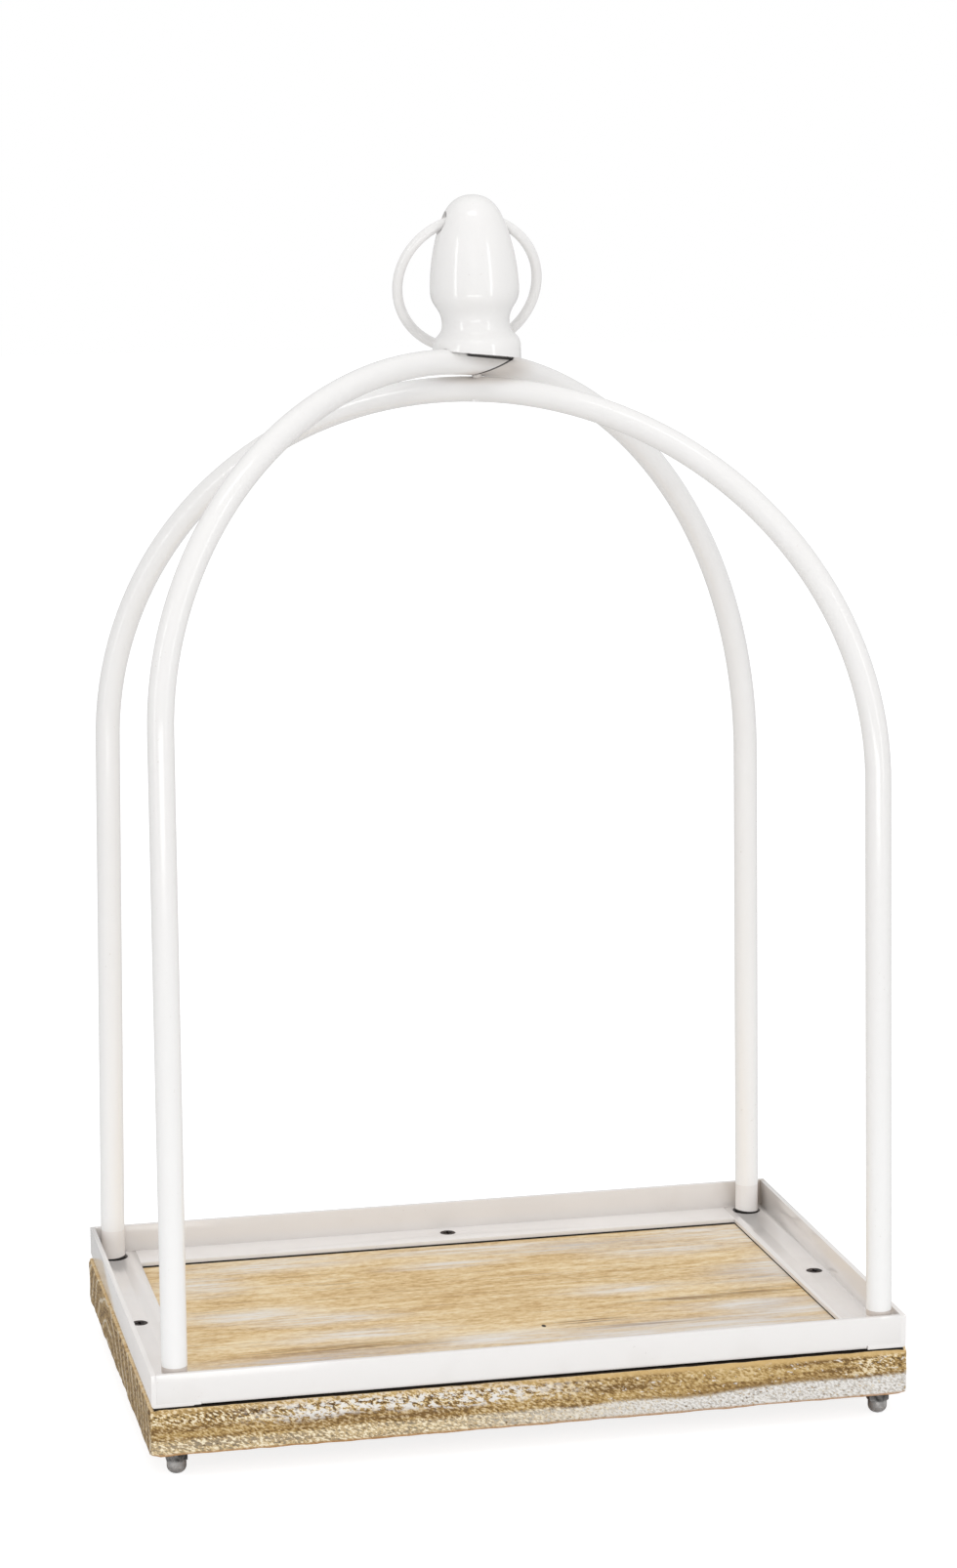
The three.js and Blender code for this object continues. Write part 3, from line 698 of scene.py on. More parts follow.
def sawn_edge(wood):
    share = (wood.along("Z") - BOARD_BOTTOM) / (BOARD_TOP - BOARD_BOTTOM)
    length = wood.along("X")
    sway = wood.noise((45, 45, 12), detail=3, seed=9) - 0.5
    level = share + sway * 0.3
    fleck = wood.noise((1.7, 1.2, 0.75), detail=2, roughness=0.6, tilt=FLECK_TILT)
    grit = wood.noise((1.5, 1.0, 0.8), detail=2, roughness=0.65, seed=13, tilt=FLECK_TILT)
    chip = wood.noise((2.6, 2.0, 1.25), detail=3, roughness=0.65, seed=3, tilt=FLECK_TILT / 2)
    band = wood.noise((40, 40, 2.4), detail=3, seed=6)
    rightward = length.climb(-0.06, 0.07)
    edge_line = 0.33 + length.climb(0.03, 0.12) * 0.12
    over_line = level - edge_line
    low = over_line.climb(0.05, -0.05)
    plain = over_line.climb(-0.02, 0.06) * level.climb(0.72, 0.56) * (1 - rightward * 0.6)
    worn_end = length.climb(0.115, 0.135)
    rough = ((1 - plain * 0.7) * (1 - rightward * 0.85 * (1 - low)) + worn_end * 0.6).limited()
    tone = wood.ramp(band * 0.5 + fleck * 0.5 - plain * 0.03, EDGE_STOPS)
    tone = wood.mix(fleck.climb(0.475, 0.38) * rough * 0.9, tone, EDGE_PIT)
    tone = wood.mix(fleck.climb(0.53, 0.59) * rough * 0.95, tone, EDGE_CREAM)
    caught = length.climb(-0.125, -0.085) * length.climb(0.03, -0.02) * level.climb(0.5, 0.66)
    sparse = length.climb(0.0, 0.03) * chip.climb(0.62, 0.67)
    flakes = (caught * chip.climb(0.47, 0.56) + sparse * 0.8).limited()
    tone = wood.mix(flakes * 0.9, tone, WASH_WHITE)
    pale = low * (0.25 + rightward * 0.65)
    dry = wood.mix(rightward, EDGE_CREAM, EDGE_GREY)
    tone = wood.mix(pale * grit.climb(0.30, 0.42), tone, dry)
    tone = wood.mix(pale * rightward * grit.climb(0.46, 0.56), tone, WASH_WHITE)
    # A dark brown line where the two bands of the edge meet.
    band_line = over_line.climb(-0.03, 0.02) * over_line.climb(0.10, 0.05) * length.climb(-0.03, 0.09)
    tone = wood.mix(band_line * 0.5, tone, EDGE_BROWN)
    # A painted golden highlight along the top of the sawn edge, stronger to the right.
    top_highlight = share.climb(0.85, 0.93) * (0.45 + rightward * 0.45)
    tone = wood.mix(top_highlight, tone, EDGE_GOLD_HIGHLIGHT)
    tone = wood.mix(share.climb(0.085, 0.03) * 0.8, tone, ARRIS_BROWN)
    return tone, fleck * 1.3 + chip * 0.5 * caught


# %% Make the cut ends
END_STOPS = [
    (0.32, (0.12, 0.068, 0.027)), (0.43, (0.32, 0.205, 0.083)),
    (0.54, (0.47, 0.32, 0.14)), (0.68, (0.72, 0.58, 0.37))]
END_CREAM = (0.80, 0.72, 0.58)
HEART_Y = 0.030
HEART_Z = BOARD_BOTTOM - 0.030
RING_WIDTH = 9 * MM


def cut_end(wood):
    wander = wood.noise((60, 30, 30)) - 0.5
    off_y = wood.along("Y") - HEART_Y
    off_z = wood.along("Z") - HEART_Z
    radius = (off_y * off_y + off_z * off_z) ** 0.5 + wander * 0.014
    settings = {"operation": "PINGPONG"}
    ring = wood.node("ShaderNodeMath", settings, {0: radius / RING_WIDTH, 1: 0.5}) * 2
    fleck = wood.noise((1.5, 2.6, 1.1), detail=4, roughness=0.7, seed=8)
    height = (fleck - 0.5) * 1.25 + 0.48 - ring.climb(0.45, 0.1) * 0.08
    pale = ring.climb(0.78, 0.95) * fleck.climb(0.35, 0.5) * 0.8
    return wood.mix(pale, wood.ramp(height, END_STOPS), END_CREAM), height * 1.4


# %% Join the faces into one wood
def gap_shade(wood):
    """The dark lines on the wood along the rim's inner edges and under the front rail."""
    x, y = wood.along("X"), wood.along("Y")
    edge_x, edge_y = TRAY_X - FLANGE, TRAY_Y - FLANGE
    back = y.climb(edge_y - 1.6 * MM, edge_y - 1.1 * MM)
    left = x.climb(-edge_x + 0.7 * MM, -edge_x + 0.3 * MM)
    taper = (edge_y - y) * math.tan(RIGHT_TAPER)
    right = (x - taper).climb(edge_x - 0.45 * MM, edge_x - 0.1 * MM)
    front = y.climb(-TRAY_Y + 6 * MM, -TRAY_Y + 5 * MM)
    covered = abs(x).climb(TRAY_X - 0.5 * MM, TRAY_X - MM)
    covered = covered * abs(y).climb(TRAY_Y + 0.6 * MM, TRAY_Y + 0.2 * MM)
    return (back + left + right + front).limited() * covered


def make_wood():
    wood = new_finish("whitewashed_wood")
    top, top_height = planed_top(wood)
    edge, edge_height = sawn_edge(wood)
    cut, cut_height = cut_end(wood)
    up = wood.facing("Z").climb(0.6, 0.8)
    end = abs(wood.facing("X")).climb(0.5, 0.7)
    top = wood.mix(gap_shade(wood), top, GAP_SHADE)
    colour = wood.mix(up, wood.mix(end, edge, cut), top)
    height = up * top_height + (1 - up) * (end * cut_height + (1 - end) * edge_height)
    return wood.surface({
        "Base Color": colour,
        "Roughness": 0.6 + top_height * 0.2,
        "Normal": wood.bump(height, strength=0.5, depth=0.35 * MM),
        "Specular IOR Level": 0.3,
    })


WOOD = make_wood()
print("made", WOOD.name)

# %% [markdown]
# ## Plated and blackened steel
# The nuts under the board are zinc plated: a little cloudy, with the faint rings of a turned
# surface. Painted shadow makes the hexagon dark under the board, and a painted highlight makes the
# dome bright. The screws in the rim are blackened, with brown metal where they are rubbed.

# %% Make the two fastener finishes
ZINC_SHADED = (0.07, 0.068, 0.066)
ZINC_LIT = (0.72, 0.71, 0.70)
NUT_HEX_LOW = BOARD_BOTTOM - 4.2 * MM
BLACKENED = (0.012, 0.010, 0.010)
RUBBED_BROWN = (0.085, 0.055, 0.045)


def make_zinc():
    zinc = new_finish("bright_zinc")
    cloud = zinc.noise(2.2, detail=4)
    turning = zinc.noise((5, 5, 0.2), detail=1)
    # Painted light: dark on the hexagon under the board, bright on the dome.
    dome = zinc.along("Z").climb(NUT_HEX_LOW + MM, NUT_HEX_LOW - MM)
    return zinc.surface({
        "Base Color": zinc.mix(cloud.climb(0.35, 0.75) * 0.4 + dome * 0.6, ZINC_SHADED, ZINC_LIT),
        "Metallic": 1.0,
        "Roughness": 0.16 + cloud * 0.2,
        "Normal": zinc.bump(turning, strength=0.2, depth=0.05 * MM),
    })


def make_dark_steel():
    steel = new_finish("dark_steel")
    cloud = steel.noise(1.1, detail=3)
    return steel.surface({
        "Base Color": steel.mix(cloud.climb(0.35, 0.75), BLACKENED, RUBBED_BROWN),
        "Metallic": 0.6,
        "Roughness": 0.35 + cloud * 0.3,
    })


ZINC = make_zinc()
DARK_STEEL = make_dark_steel()
print("made", ZINC.name, DARK_STEEL.name)

# %% [markdown]
# ## The small fasteners
# The rim screws, the studs inside the posts and the screw inside the crown are plain turned
# parts, and most of them are hidden. Their solids are already right, so they only get a finish.
# The crown's screw is painted over with the bars.

# %% Finish the fasteners that keep their solids
SIDES = ["left", "right", "front", "back"]


def refinish(node, material):
    slots = frame["nodes"][node].data.materials
    slots.clear()
    slots.append(material)


for side in SIDES:
    refinish("rail_screw_" + side, DARK_STEEL)
for corner in CORNERS:
    refinish("post_stud_" + corner, ZINC)
refinish("finial_screw", ENAMEL)
print("finished", len(SIDES) + len(CORNERS) + 1, "fasteners")

# %% [markdown]
# ## The base board
# A plank is a box, but a sawn and worn one is never sharp. The grid keeps many small faces, so
# that the edges can be rubbed round and the sawn sides can wander. It is drilled for the studs
# and the rim screws at the end.

# %% Model the board
BOARD_CELL = 2 * MM
EDGE_CUTS = 8
WEAR_REACH = 3 * MM
SAW_STEP = 9 * MM
SAW_DEPTH = 0.9 * MM
STUD_HOLE_RADIUS = 2.8 * MM
SCREW_HOLE_RADIUS = 1.9 * MM
SCREW_ROOM = 0.3 * MM
BOARD_SIZE = board_high - board_low


def raise_plank():
    clear_selection()
    columns, rows = round(BOARD_SIZE.x / BOARD_CELL), round(BOARD_SIZE.y / BOARD_CELL)
    bpy.ops.mesh.primitive_grid_add(
        x_subdivisions=columns, y_subdivisions=rows, size=1, location=(0, 0, BOARD_BOTTOM))
    plank = bpy.context.object
    plank.scale = (BOARD_SIZE.x, BOARD_SIZE.y, 1)
    settle(plank, "board")
    edit_all(plank)
    extrude(0, 0, BOARD_SIZE.z)
    bpy.ops.mesh.select_all(action="SELECT")
    bpy.ops.mesh.normals_make_consistent(inside=False)
    choose(plank, "edges", lambda edge: abs(edge_run(plank, edge).z) > BOARD_SIZE.z / 2)
    bpy.ops.mesh.subdivide(number_cuts=EDGE_CUTS)
    leave_edit()
    return plank


# %% Wear and drill the board
def wear_plank(plank):
    def on_arris(vertex):
        sides = near(abs(vertex.co.x), BOARD_SIZE.x / 2) + near(abs(vertex.co.y), BOARD_SIZE.y / 2)
        return sides + near(vertex.co.z, BOARD_BOTTOM) + near(vertex.co.z, BOARD_TOP) >= 2

    def at_corner(vertex):
        out_x = abs(vertex.co.x) > BOARD_SIZE.x / 2 - WEAR_REACH
        return out_x and abs(vertex.co.y) > BOARD_SIZE.y / 2 - WEAR_REACH

    choose(plank, "vertices", on_arris)
    bpy.ops.mesh.vertices_smooth(factor=0.5, repeat=1)
    choose(plank, "vertices", at_corner)
    bpy.ops.mesh.vertices_smooth(factor=0.5, repeat=2)
    leave_edit()
    sawn = plank.vertex_groups.new(name="sawn_sides")
    for vertex in plank.data.vertices:
        out = max(abs(vertex.co.x) - BOARD_SIZE.x / 2, abs(vertex.co.y) - BOARD_SIZE.y / 2)
        if out > -0.5 * BOARD_CELL:
            sawn.add([vertex.index], 1.0, "REPLACE")
    ripple = bpy.data.textures.new("saw_ripple", "CLOUDS")
    ripple.noise_scale = SAW_STEP
    modify(plank, "DISPLACE", texture=ripple, texture_coords="LOCAL", vertex_group="sawn_sides",
           strength=SAW_DEPTH, mid_level=0.6)
    return plank


def drill_plank(plank):
    for post in POSTS.values():
        drill(plank, STUD_HOLE_RADIUS, post, 0, 2 * BOARD_TOP)
    for side in SIDES:
        low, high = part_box("rail_screw_" + side)
        drill(plank, SCREW_HOLE_RADIUS, (low + high) / 2, low.z - SCREW_ROOM, 2 * BOARD_TOP)
    return plank


board = smooth(drill_plank(wear_plank(raise_plank())), 40)
dress(board, WOOD, ["base_board"])

# %% [markdown]
# ## The rim of steel angle
# Each rail is a strip folded to an L: one flange stands up round the board and one lies on it.
# The fold leaves a rounded heel, and that is why a dark line runs under the front rail. The side
# rails run the whole depth. The front and back rails are cut away at their ends to sit over them.
# Each rail is folded along the left side first, and then turned to its own side.

# %% Fold one rail
POST_HOLE_RADIUS = 6 * MM
PAINTED_EDGE = 0.3 * MM
HEEL_ROUND = 0.98 * STEEL
HEAD_RADIUS = 3.6 * MM
SHANK_RADIUS = 1.9 * MM


def fold_rail(length, flange_from, flange_to):
    """A rail along Y with its outer face on X = 0 and its lying flange on Z = 0."""
    notched = flange_to - flange_from < length

    def over_flange(face):
        return face.normal.z < -0.9 and flange_from < face.center.y < flange_to

    rail = block((0, -length / 2, STEEL if notched else 0), (STEEL, length / 2, RAIL_HEIGHT))
    cuts = [(0, flange_from, 0), (0, flange_to, 0)] if notched else [(0, 0, STEEL)]
    for place in cuts:
        edit_all(rail)
        bpy.ops.mesh.bisect(plane_co=place, plane_no=(0, 1, 0) if notched else (0, 0, 1))
        leave_edit()
    if notched:
        choose(rail, "polygons", over_flange)
        extrude(0, 0, -STEEL)
    choose(rail, "polygons", lambda face: face.normal.x > 0.9 and face.center.z < STEEL)
    extrude(FLANGE - STEEL, 0, 0)

    def on_heel(edge):
        middle = edge_middle(rail, edge)
        return near(middle.x, 0) and near(middle.z, 0) and abs(edge_run(rail, edge).y) > FLANGE

    bevel_edges(rail, on_heel, HEEL_ROUND, 6)
    return rail


# %% Turn, trim, drill and round the four rails
RAIL_TURNS = {"left": 0, "right": math.pi, "front": math.pi / 2, "back": -math.pi / 2}
FRONT_FLANGE_END = 133.9 * MM
BACK_FLANGE_END = TRAY_X - FLANGE


def trim_right_flange(rail):
    """Cuts the right rail's lying flange narrower towards the front."""
    trim = block((-FLANGE, -2 * TRAY_Y, -STEEL), (0, 2 * TRAY_Y, 2 * STEEL))
    trim.rotation_euler = (0, 0, RIGHT_TAPER)
    trim.location = (TRAY_X - FLANGE, TRAY_Y - FLANGE, BOARD_TOP)
    return carve(rail, settle(trim, "trim"))


def drill_rail(rail, side):
    low, high = BOARD_TOP - STEEL, BOARD_TOP + 2 * STEEL
    if side in ("left", "right"):
        for corner in ("front_" + side, "back_" + side):
            carve(rail, rod(POST_HOLE_RADIUS, POSTS[corner].x, POSTS[corner].y, low, high))
    screw = middle_of("rail_screw_" + side)
    seat_top = BOARD_TOP + STEEL
    slope = HEAD_RADIUS - SHANK_RADIUS
    carve(rail, rod(SHANK_RADIUS, screw.x, screw.y, low, seat_top))
    seat = rod(SHANK_RADIUS, screw.x, screw.y, seat_top - slope, seat_top + slope,
               top_radius=HEAD_RADIUS + slope)
    return carve(rail, seat)


def make_rail(side):
    turn = RAIL_TURNS[side]
    whole = side in ("left", "right")
    if whole:
        rail = fold_rail(2 * TRAY_Y, -TRAY_Y, TRAY_Y)
    else:
        flange_from = FRONT_FLANGE_END if side == "front" else BACK_FLANGE_END
        rail = fold_rail(2 * (TRAY_X - STEEL), -flange_from, BACK_FLANGE_END)
    reach = TRAY_X if whole else TRAY_Y
    rail.location = (-reach * math.cos(turn), -reach * math.sin(turn), BOARD_TOP)
    rail.rotation_euler = (0, 0, turn)
    settle(rail, "rim_" + side)
    if side == "right":
        trim_right_flange(rail)
    drill_rail(rail, side)
    return smooth(round_edges(rail, PAINTED_EDGE, 2), 50)


for side in SIDES:
    dress(make_rail(side), ENAMEL, ["rail_" + side])

# %% [markdown]
# ## The arches
# Each arch is a straight leg, a bend that flattens towards the crown, and the same again down the
# other side. A Bezier curve with upright handles at the springs and level handles at the crown
# gives just that bend, and a round bevel turns the curve into bar. The screw that holds the crown
# together is sunk into the lower arch from below, and filler hides its head.

# %% Bend a bar
BEND_HANDLE = 0.5523
UPRIGHT_FOOT = 18 * MM
STUD_BORE = 14.3 * MM


def bend_bar(name, half_span, turn, left, right, crown_at, crown, radius=BAR_RADIUS):
    """A bar in the upright plane with that turn. Left and right are each a spring level and a lean."""
    knee = BOARD_TOP + UPRIGHT_FOOT
    way = [
        (-half_span, BOARD_TOP), (-half_span, knee), (left[1] - half_span, left[0]), (crown_at, crown),
        (half_span - right[1], right[0]), (half_span, knee), (half_span, BOARD_TOP)]
    stops = [Vector((x, 0, z)) for x, z in way]
    steps = [(end - start) / 3 for start, end in zip(stops, stops[1:])]
    before = [-steps[0]] + [-step for step in steps]
    after = steps + [steps[-1]]
    after[2] = Vector((0, 0, BEND_HANDLE * (crown - left[0])))
    before[3] = Vector((BEND_HANDLE * (stops[2].x - crown_at), 0, 0))
    after[3] = Vector((BEND_HANDLE * (stops[4].x - crown_at), 0, 0))
    before[4] = Vector((0, 0, BEND_HANDLE * (crown - right[0])))
    bends = [(at, at + back, at + ahead) for at, back, ahead in zip(stops, before, after)]
    bar = draw_curve(bends, resolution=40)
    bar.data.bevel_depth = radius
    bar.data.bevel_resolution = 10
    bar.data.use_fill_caps = True
    bpy.ops.object.convert(target="MESH")
    bar = bpy.context.object
    bar.rotation_euler = (0, 0, turn)
    return settle(bar, name)


def bore_feet(bar, corners):
    for corner in corners:
        drill(bar, STUD_HOLE_RADIUS, POSTS[corner], BOARD_TOP - MM, BOARD_TOP + STUD_BORE)
    return bar


# %% Make the lower arch
CROWN_HOLE_RADIUS = 2.3 * MM
SCREW_HEAD_RADIUS = 3.3 * MM
COUNTERBORE = 3.4 * MM
UNDERSIDE = MAIN_CROWN - BAR_RADIUS


def bend_lower_bar(name):
    leg = (MAIN_SPRING, MAIN_LEAN)
    return bend_bar(name, MAIN_HALF, MAIN_TURN, leg, leg, 0, MAIN_CROWN)


def make_main_arch():
    bar = bend_lower_bar("lower_arch")
    bore_feet(bar, ["back_left", "front_right"])
    drill(bar, CROWN_HOLE_RADIUS, MIDDLE, MAIN_CROWN - 2 * BAR_RADIUS, MAIN_CROWN + 2 * BAR_RADIUS)
    drill(bar, SCREW_HEAD_RADIUS, MIDDLE, UNDERSIDE - COUNTERBORE, UNDERSIDE + COUNTERBORE)
    return smooth(bar)


# %% Fill the lower arch round its screw head
FILLER_RADIUS = SCREW_HEAD_RADIUS - 0.01 * MM
HEAD_BORE_RADIUS = 3.02 * MM
HEAD_ROOM = 0.02 * MM


def fill_counterbore():
    plug = bend_lower_bar("crown_filler")
    head_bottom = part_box("finial_screw")[0].z
    core = rod(FILLER_RADIUS, 0, 0, UNDERSIDE - MM, UNDERSIDE + COUNTERBORE, sides=24)
    carve(plug, core, "INTERSECT")
    drill(plug, HEAD_BORE_RADIUS, MIDDLE, head_bottom - HEAD_ROOM, UNDERSIDE + 2 * COUNTERBORE)
    print("screw head sunk", round((head_bottom - UNDERSIDE) / MM, 2), "mm")
    return smooth(plug)


dress(fill_counterbore(), ENAMEL)
dress(make_main_arch(), ENAMEL, ["arch_main"])

# %% [markdown]
# ## The upper arch and its joint
# The upper arch is two bars. Under the finial the front one is cut to a slant and laps over the
# back one, and the cut shows as a fine dark line. A long block whose top face is the slant makes
# both halves: one bar keeps what is inside the block, and its copy loses it.

# %% Make the two upper halves
LAP_GAP = 0.2 * MM


def lap_block(grow):
    length, width, height = 2 * UPPER_HALF, 8 * BAR_RADIUS, 2 * MAIN_CROWN
    lap = block((-grow, -width / 2, grow - height), (length, width / 2, grow))
    lap.rotation_euler = (0, -LAP_SLOPE, 0)
    lap.location = LAP_TOE
    settle(lap, "lap")
    lap.rotation_euler = (0, 0, UPPER_TURN)
    return settle(lap, "lap")


def bend_upper_bar(name, radius=BAR_RADIUS):
    left, right = (FRONT_SPRING, 0), (BACK_SPRING, BACK_LEAN)
    return bend_bar(name, UPPER_HALF, UPPER_TURN, left, right, -CROWN_SHIFT, UPPER_CROWN, radius)


def make_upper_half(name, front):
    bar = bend_upper_bar(name)
    bore_feet(bar, ["front_left", "back_right"])
    drill(bar, CROWN_HOLE_RADIUS, MIDDLE, MAIN_CROWN, CROSSING + 4 * BAR_RADIUS)
    if front:
        return smooth(carve(bar, lap_block(LAP_GAP)))
    return smooth(carve(bar, lap_block(0), "INTERSECT"))


for end in ("front", "back"):
    half = make_upper_half("upper_arch_" + end, end == "front")
    dress(half, ENAMEL, ["arch_" + end + "_half"])

# %% [markdown]
# ## The finial
# The top is turned on a lathe, so half of its outline is drawn as a curve and spun round. Its
# seat is then cut to the fall of the bar under it, and a slightly thicker copy of that bar cuts
# the groove. The ring's hole is drilled across, and every sharp edge is rounded as thick paint
# rounds it.

# %% Turn the finial
FINIAL_OUTLINE = [
    ((0, 62.2), (0, 62.2), (7.6, 62.2)),
    ((13, 50.7), (10.84, 56.7), (15.88, 42.7)),
    ((17.5, 25.2), (17.5, 33.2), (17.5, 19.2)),
    ((13.3, 12.7), (13.3, 18.7), (13.3, 6.7)),
    ((17.4, 2.7), (17.4, 8.7), (17.4, 1.2)),
    ((17.4, -5), (17.4, -3.5), (11.6, -5)),
    ((0, -5), (5.8, -5), (0, -5)),
]
FINIAL_LEAN = math.radians(1.8)
RING_HOLE_RADIUS = 4.5 * MM
SCREW_BORE = 14.3 * MM
GROOVE_ROOM = 0.06 * MM
FINIAL_EDGE = 0.35 * MM


def turn_finial():
    draw_curve([[Vector((x, 0, z)) * MM for x, z in stop] for stop in FINIAL_OUTLINE], resolution=18)
    bpy.ops.object.convert(target="MESH")
    finial = bpy.context.object
    pick(finial)
    bpy.ops.object.mode_set(mode="EDIT")
    bpy.ops.mesh.select_all(action="SELECT")
    bpy.ops.mesh.spin(steps=96, angle=2 * math.pi, center=(0, 0, 0), axis=(0, 0, 1))
    bpy.ops.mesh.select_all(action="SELECT")
    bpy.ops.mesh.remove_doubles(threshold=0.002 * MM)
    bpy.ops.mesh.normals_make_consistent(inside=False)
    leave_edit()
    finial.rotation_euler = (0, -FINIAL_LEAN, 0)
    finial.location = (0, 0, FINIAL_SEAT)
    return settle(finial, "turned_finial")


# %% Seat the finial on the bar
def seat_finial(finial):
    edit_all(finial)
    slip = math.sin(SEAT_FALL)
    upward = (slip * math.cos(UPPER_TURN), slip * math.sin(UPPER_TURN), math.cos(SEAT_FALL))
    bpy.ops.mesh.bisect(plane_co=(0, 0, FINIAL_SEAT), plane_no=upward, use_fill=True, clear_inner=True)
    leave_edit()
    return carve(finial, bend_upper_bar("groove", BAR_RADIUS + GROOVE_ROOM))


# %% Drill and round the finial
def drill_finial(finial):
    reach = 40 * MM
    cross_drill = rod(RING_HOLE_RADIUS, 0, 0, -reach, reach)
    cross_drill.rotation_euler = (0, math.pi / 2, 0)
    cross_drill.location = HINGE
    carve(finial, settle(cross_drill, "cross_drill"))
    drill(finial, CROWN_HOLE_RADIUS, MIDDLE, FINIAL_SEAT - SCREW_BORE, FINIAL_SEAT + SCREW_BORE)
    return smooth(round_edges(finial, FINIAL_EDGE, 3), 40)


finial = drill_finial(seat_finial(turn_finial()))
dress(finial, ENAMEL, ["finial"])

# %% [markdown]
# ## The carry ring
# A ring of wire is bent round and its ends are welded inside the finial's hole, where they do not
# show. It hangs back a little, because its wire rests on the edge of the hole. It is the one
# piece that moves, so it rides on the ring's own body.

# %% Make the ring
RING_RADIUS = 28 * MM
WIRE_RADIUS = 2 * MM
RING_DROP = 25.946 * MM
RING_HANG = math.radians(21.5)
WELD_HALF = 2 * MM
WELD_HEIGHT = 0.15 * MM


def make_ring():
    clear_selection()
    bpy.ops.mesh.primitive_torus_add(
        major_radius=RING_RADIUS, minor_radius=WIRE_RADIUS, major_segments=128, minor_segments=24,
        location=(0, -RING_DROP, 0))
    ring = settle(bpy.context.object, "ring")

    def at_weld(vertex):
        on_top = vertex.co.y > RING_RADIUS - RING_DROP - 2 * WIRE_RADIUS
        return on_top and abs(vertex.co.x) < WELD_HALF

    choose(ring, "vertices", at_weld)
    bpy.ops.transform.shrink_fatten(value=WELD_HEIGHT)
    leave_edit()
    ring.rotation_euler = (math.pi / 2 + RING_HANG, 0, 0)
    ring.location = HINGE
    return smooth(settle(ring, "wire_ring"), 60)


dress(make_ring(), ENAMEL, ["carry_ring"], body="ring")

# %% [markdown]
# ## The cap nuts
# Four domed nuts hold the posts from below, and the lantern stands on their domes. A hexagon gets
# its corners chamfered by a turned blank, a domed rod is joined on, and the thread's hole is bored
# from above. One nut is made, and the other three are copies.

# %% Make one nut and copy it
NUT_HEX_RADIUS = 8 / math.sqrt(3) * MM
NUT_CHAMFER = 0.55 * MM
NUT_BORE = 6.5 * MM
DOME_RADIUS = 3.8 * MM
DOME_ROUND = 3 * MM


def make_nut():
    nut = rod(NUT_HEX_RADIUS, 0, 0, NUT_HEX_LOW, BOARD_BOTTOM, sides=6)
    blank = rod(NUT_HEX_RADIUS * 1.01, 0, 0, NUT_HEX_LOW, BOARD_BOTTOM)
    bevel_edges(blank, lambda edge: abs(edge_run(blank, edge).z) < 0.1 * MM, NUT_CHAMFER, 2)
    carve(nut, blank, "INTERSECT")
    dome = rod(DOME_RADIUS, 0, 0, 0, NUT_HEX_LOW + MM)
    bevel_edges(dome, lambda edge: edge_middle(dome, edge).z < 0.1 * MM, DOME_ROUND, 10)
    carve(nut, dome, "UNION")
    drill(nut, STUD_HOLE_RADIUS, MIDDLE, BOARD_BOTTOM - NUT_BORE, BOARD_BOTTOM + MM)
    return smooth(nut, 30)


first_nut = make_nut()
for corner in CORNERS:
    nut = first_nut.copy()
    nut.data = first_nut.data.copy()
    bpy.context.scene.collection.objects.link(nut)
    nut.location = (POSTS[corner].x, POSTS[corner].y, 0)
    settle(nut, "dome_nut_" + corner)
    dress(nut, ZINC, ["cap_nut_" + corner])
bpy.data.objects.remove(first_nut)

# %% [markdown]
# ## The studio
# The lantern stands in a white studio with soft light from all round, and with soft lamps in
# front, at the right and overhead.
# Four thin strip lamps stand round the camera like the edges of a window, and draw fine bright
# lines on the glossy bars and on the finial. The floor is white to the camera and still keeps the
# soft shadow of the board.

# %% Make the floor and the world
FLOOR_SIZE = 12
FLOOR_CARD = (0.75, 0.75, 0.75)
FLOOR_SEEN = (0.36, 0.36, 0.36)
FLOOR_GLOW = 0.83
ROOM_LIGHT = 0.69


def seen_directly(nodes):
    return nodes.node("ShaderNodeLightPath", output="Is Camera Ray")


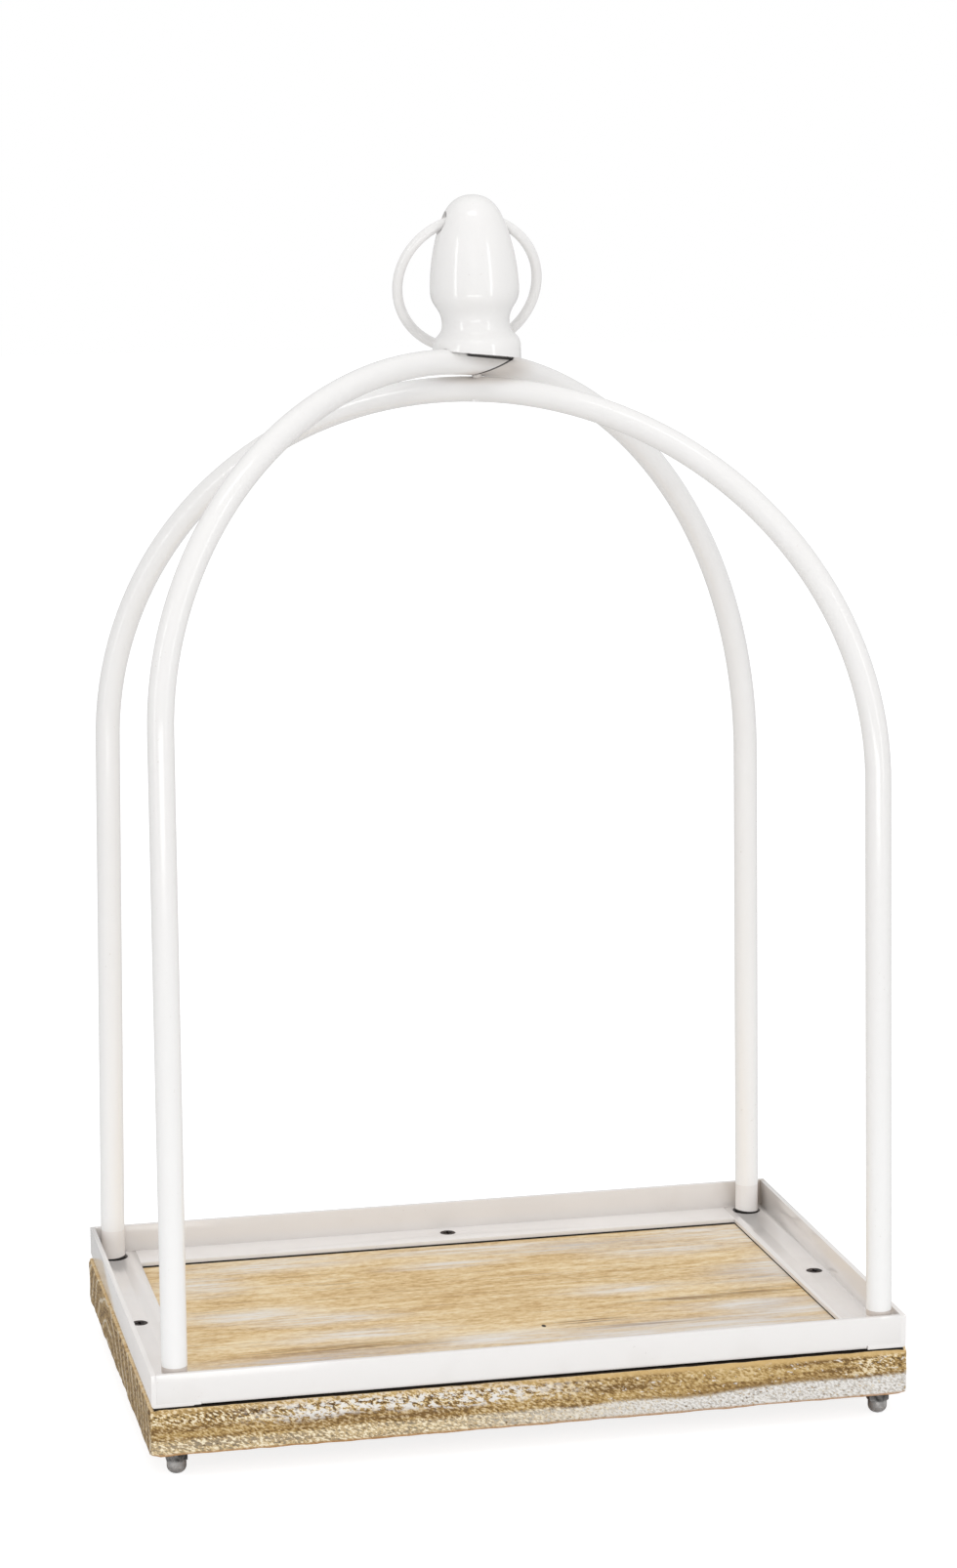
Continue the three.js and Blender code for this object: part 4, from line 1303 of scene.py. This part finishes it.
def make_floor():
    clear_selection()
    bpy.ops.mesh.primitive_plane_add(size=FLOOR_SIZE)
    floor = bpy.context.object
    floor.name = "studio_floor"
    card = new_finish("studio_floor")
    seen = seen_directly(card)
    floor.data.materials.append(card.surface({
        "Base Color": card.mix(seen, FLOOR_CARD, FLOOR_SEEN),
        "Roughness": 1.0,
        "Specular IOR Level": 0.0,
        "Emission Color": card.mix(seen, (0, 0, 0), (1, 1, 1)),
        "Emission Strength": FLOOR_GLOW,
    }))


def make_world():
    world = bpy.data.worlds.new("studio")
    bpy.context.scene.world = world
    room = Finish(world)
    strength = ROOM_LIGHT + seen_directly(room) * (1 - ROOM_LIGHT)
    light = room.node("ShaderNodeBackground", sockets={"Color": (1, 1, 1, 1), "Strength": strength})
    room.node("ShaderNodeOutputWorld", sockets={"Surface": light})


make_floor()
make_world()
print("floor and world ready")

# %% Hang the lamps, each with its place, size, power and whether the gloss mirrors it
AIM = Vector((0, 0, 0.24))
LAMPS = {
    "front_soft": ((-0.50, -1.95, 1.15), (0.7, 0.7), 5, False),
    "right_soft": ((1.60, -1.45, 1.15), (1.0, 1.0), 3, False),
    "left_strip": ((-1.33, -0.70, 0.55), (0.14, 1.1), 1.9, True),
    "right_strip": ((0.80, -1.28, 0.55), (0.15, 1.1), 1.7, True),
    "low_strip": ((-0.27, -1.20, 0.06), (0.8, 0.16), 1.2, True),
    "high_strip": ((-0.17, -0.76, 1.63), (0.7, 0.20), 1.3, True),
    "overhead": ((0.1, 0.1, 2.2), (1.6, 1.6), 6, False),
}


def hang_lamp(name, place, size, power, mirrored):
    data = bpy.data.lights.new(name, "AREA")
    data.shape = "RECTANGLE"
    data.size, data.size_y = size
    data.energy = power
    lamp = bpy.data.objects.new(name, data)
    lamp.location = place
    lamp.rotation_euler = (AIM - Vector(place)).to_track_quat("-Z", "Y").to_euler()
    lamp.visible_glossy = mirrored
    lamp.visible_camera = False
    bpy.context.scene.collection.objects.link(lamp)


for name, lamp in LAMPS.items():
    hang_lamp(name, *lamp)
bpy.context.scene.view_settings.view_transform = "Standard"
print("lamps:", ", ".join(LAMPS))
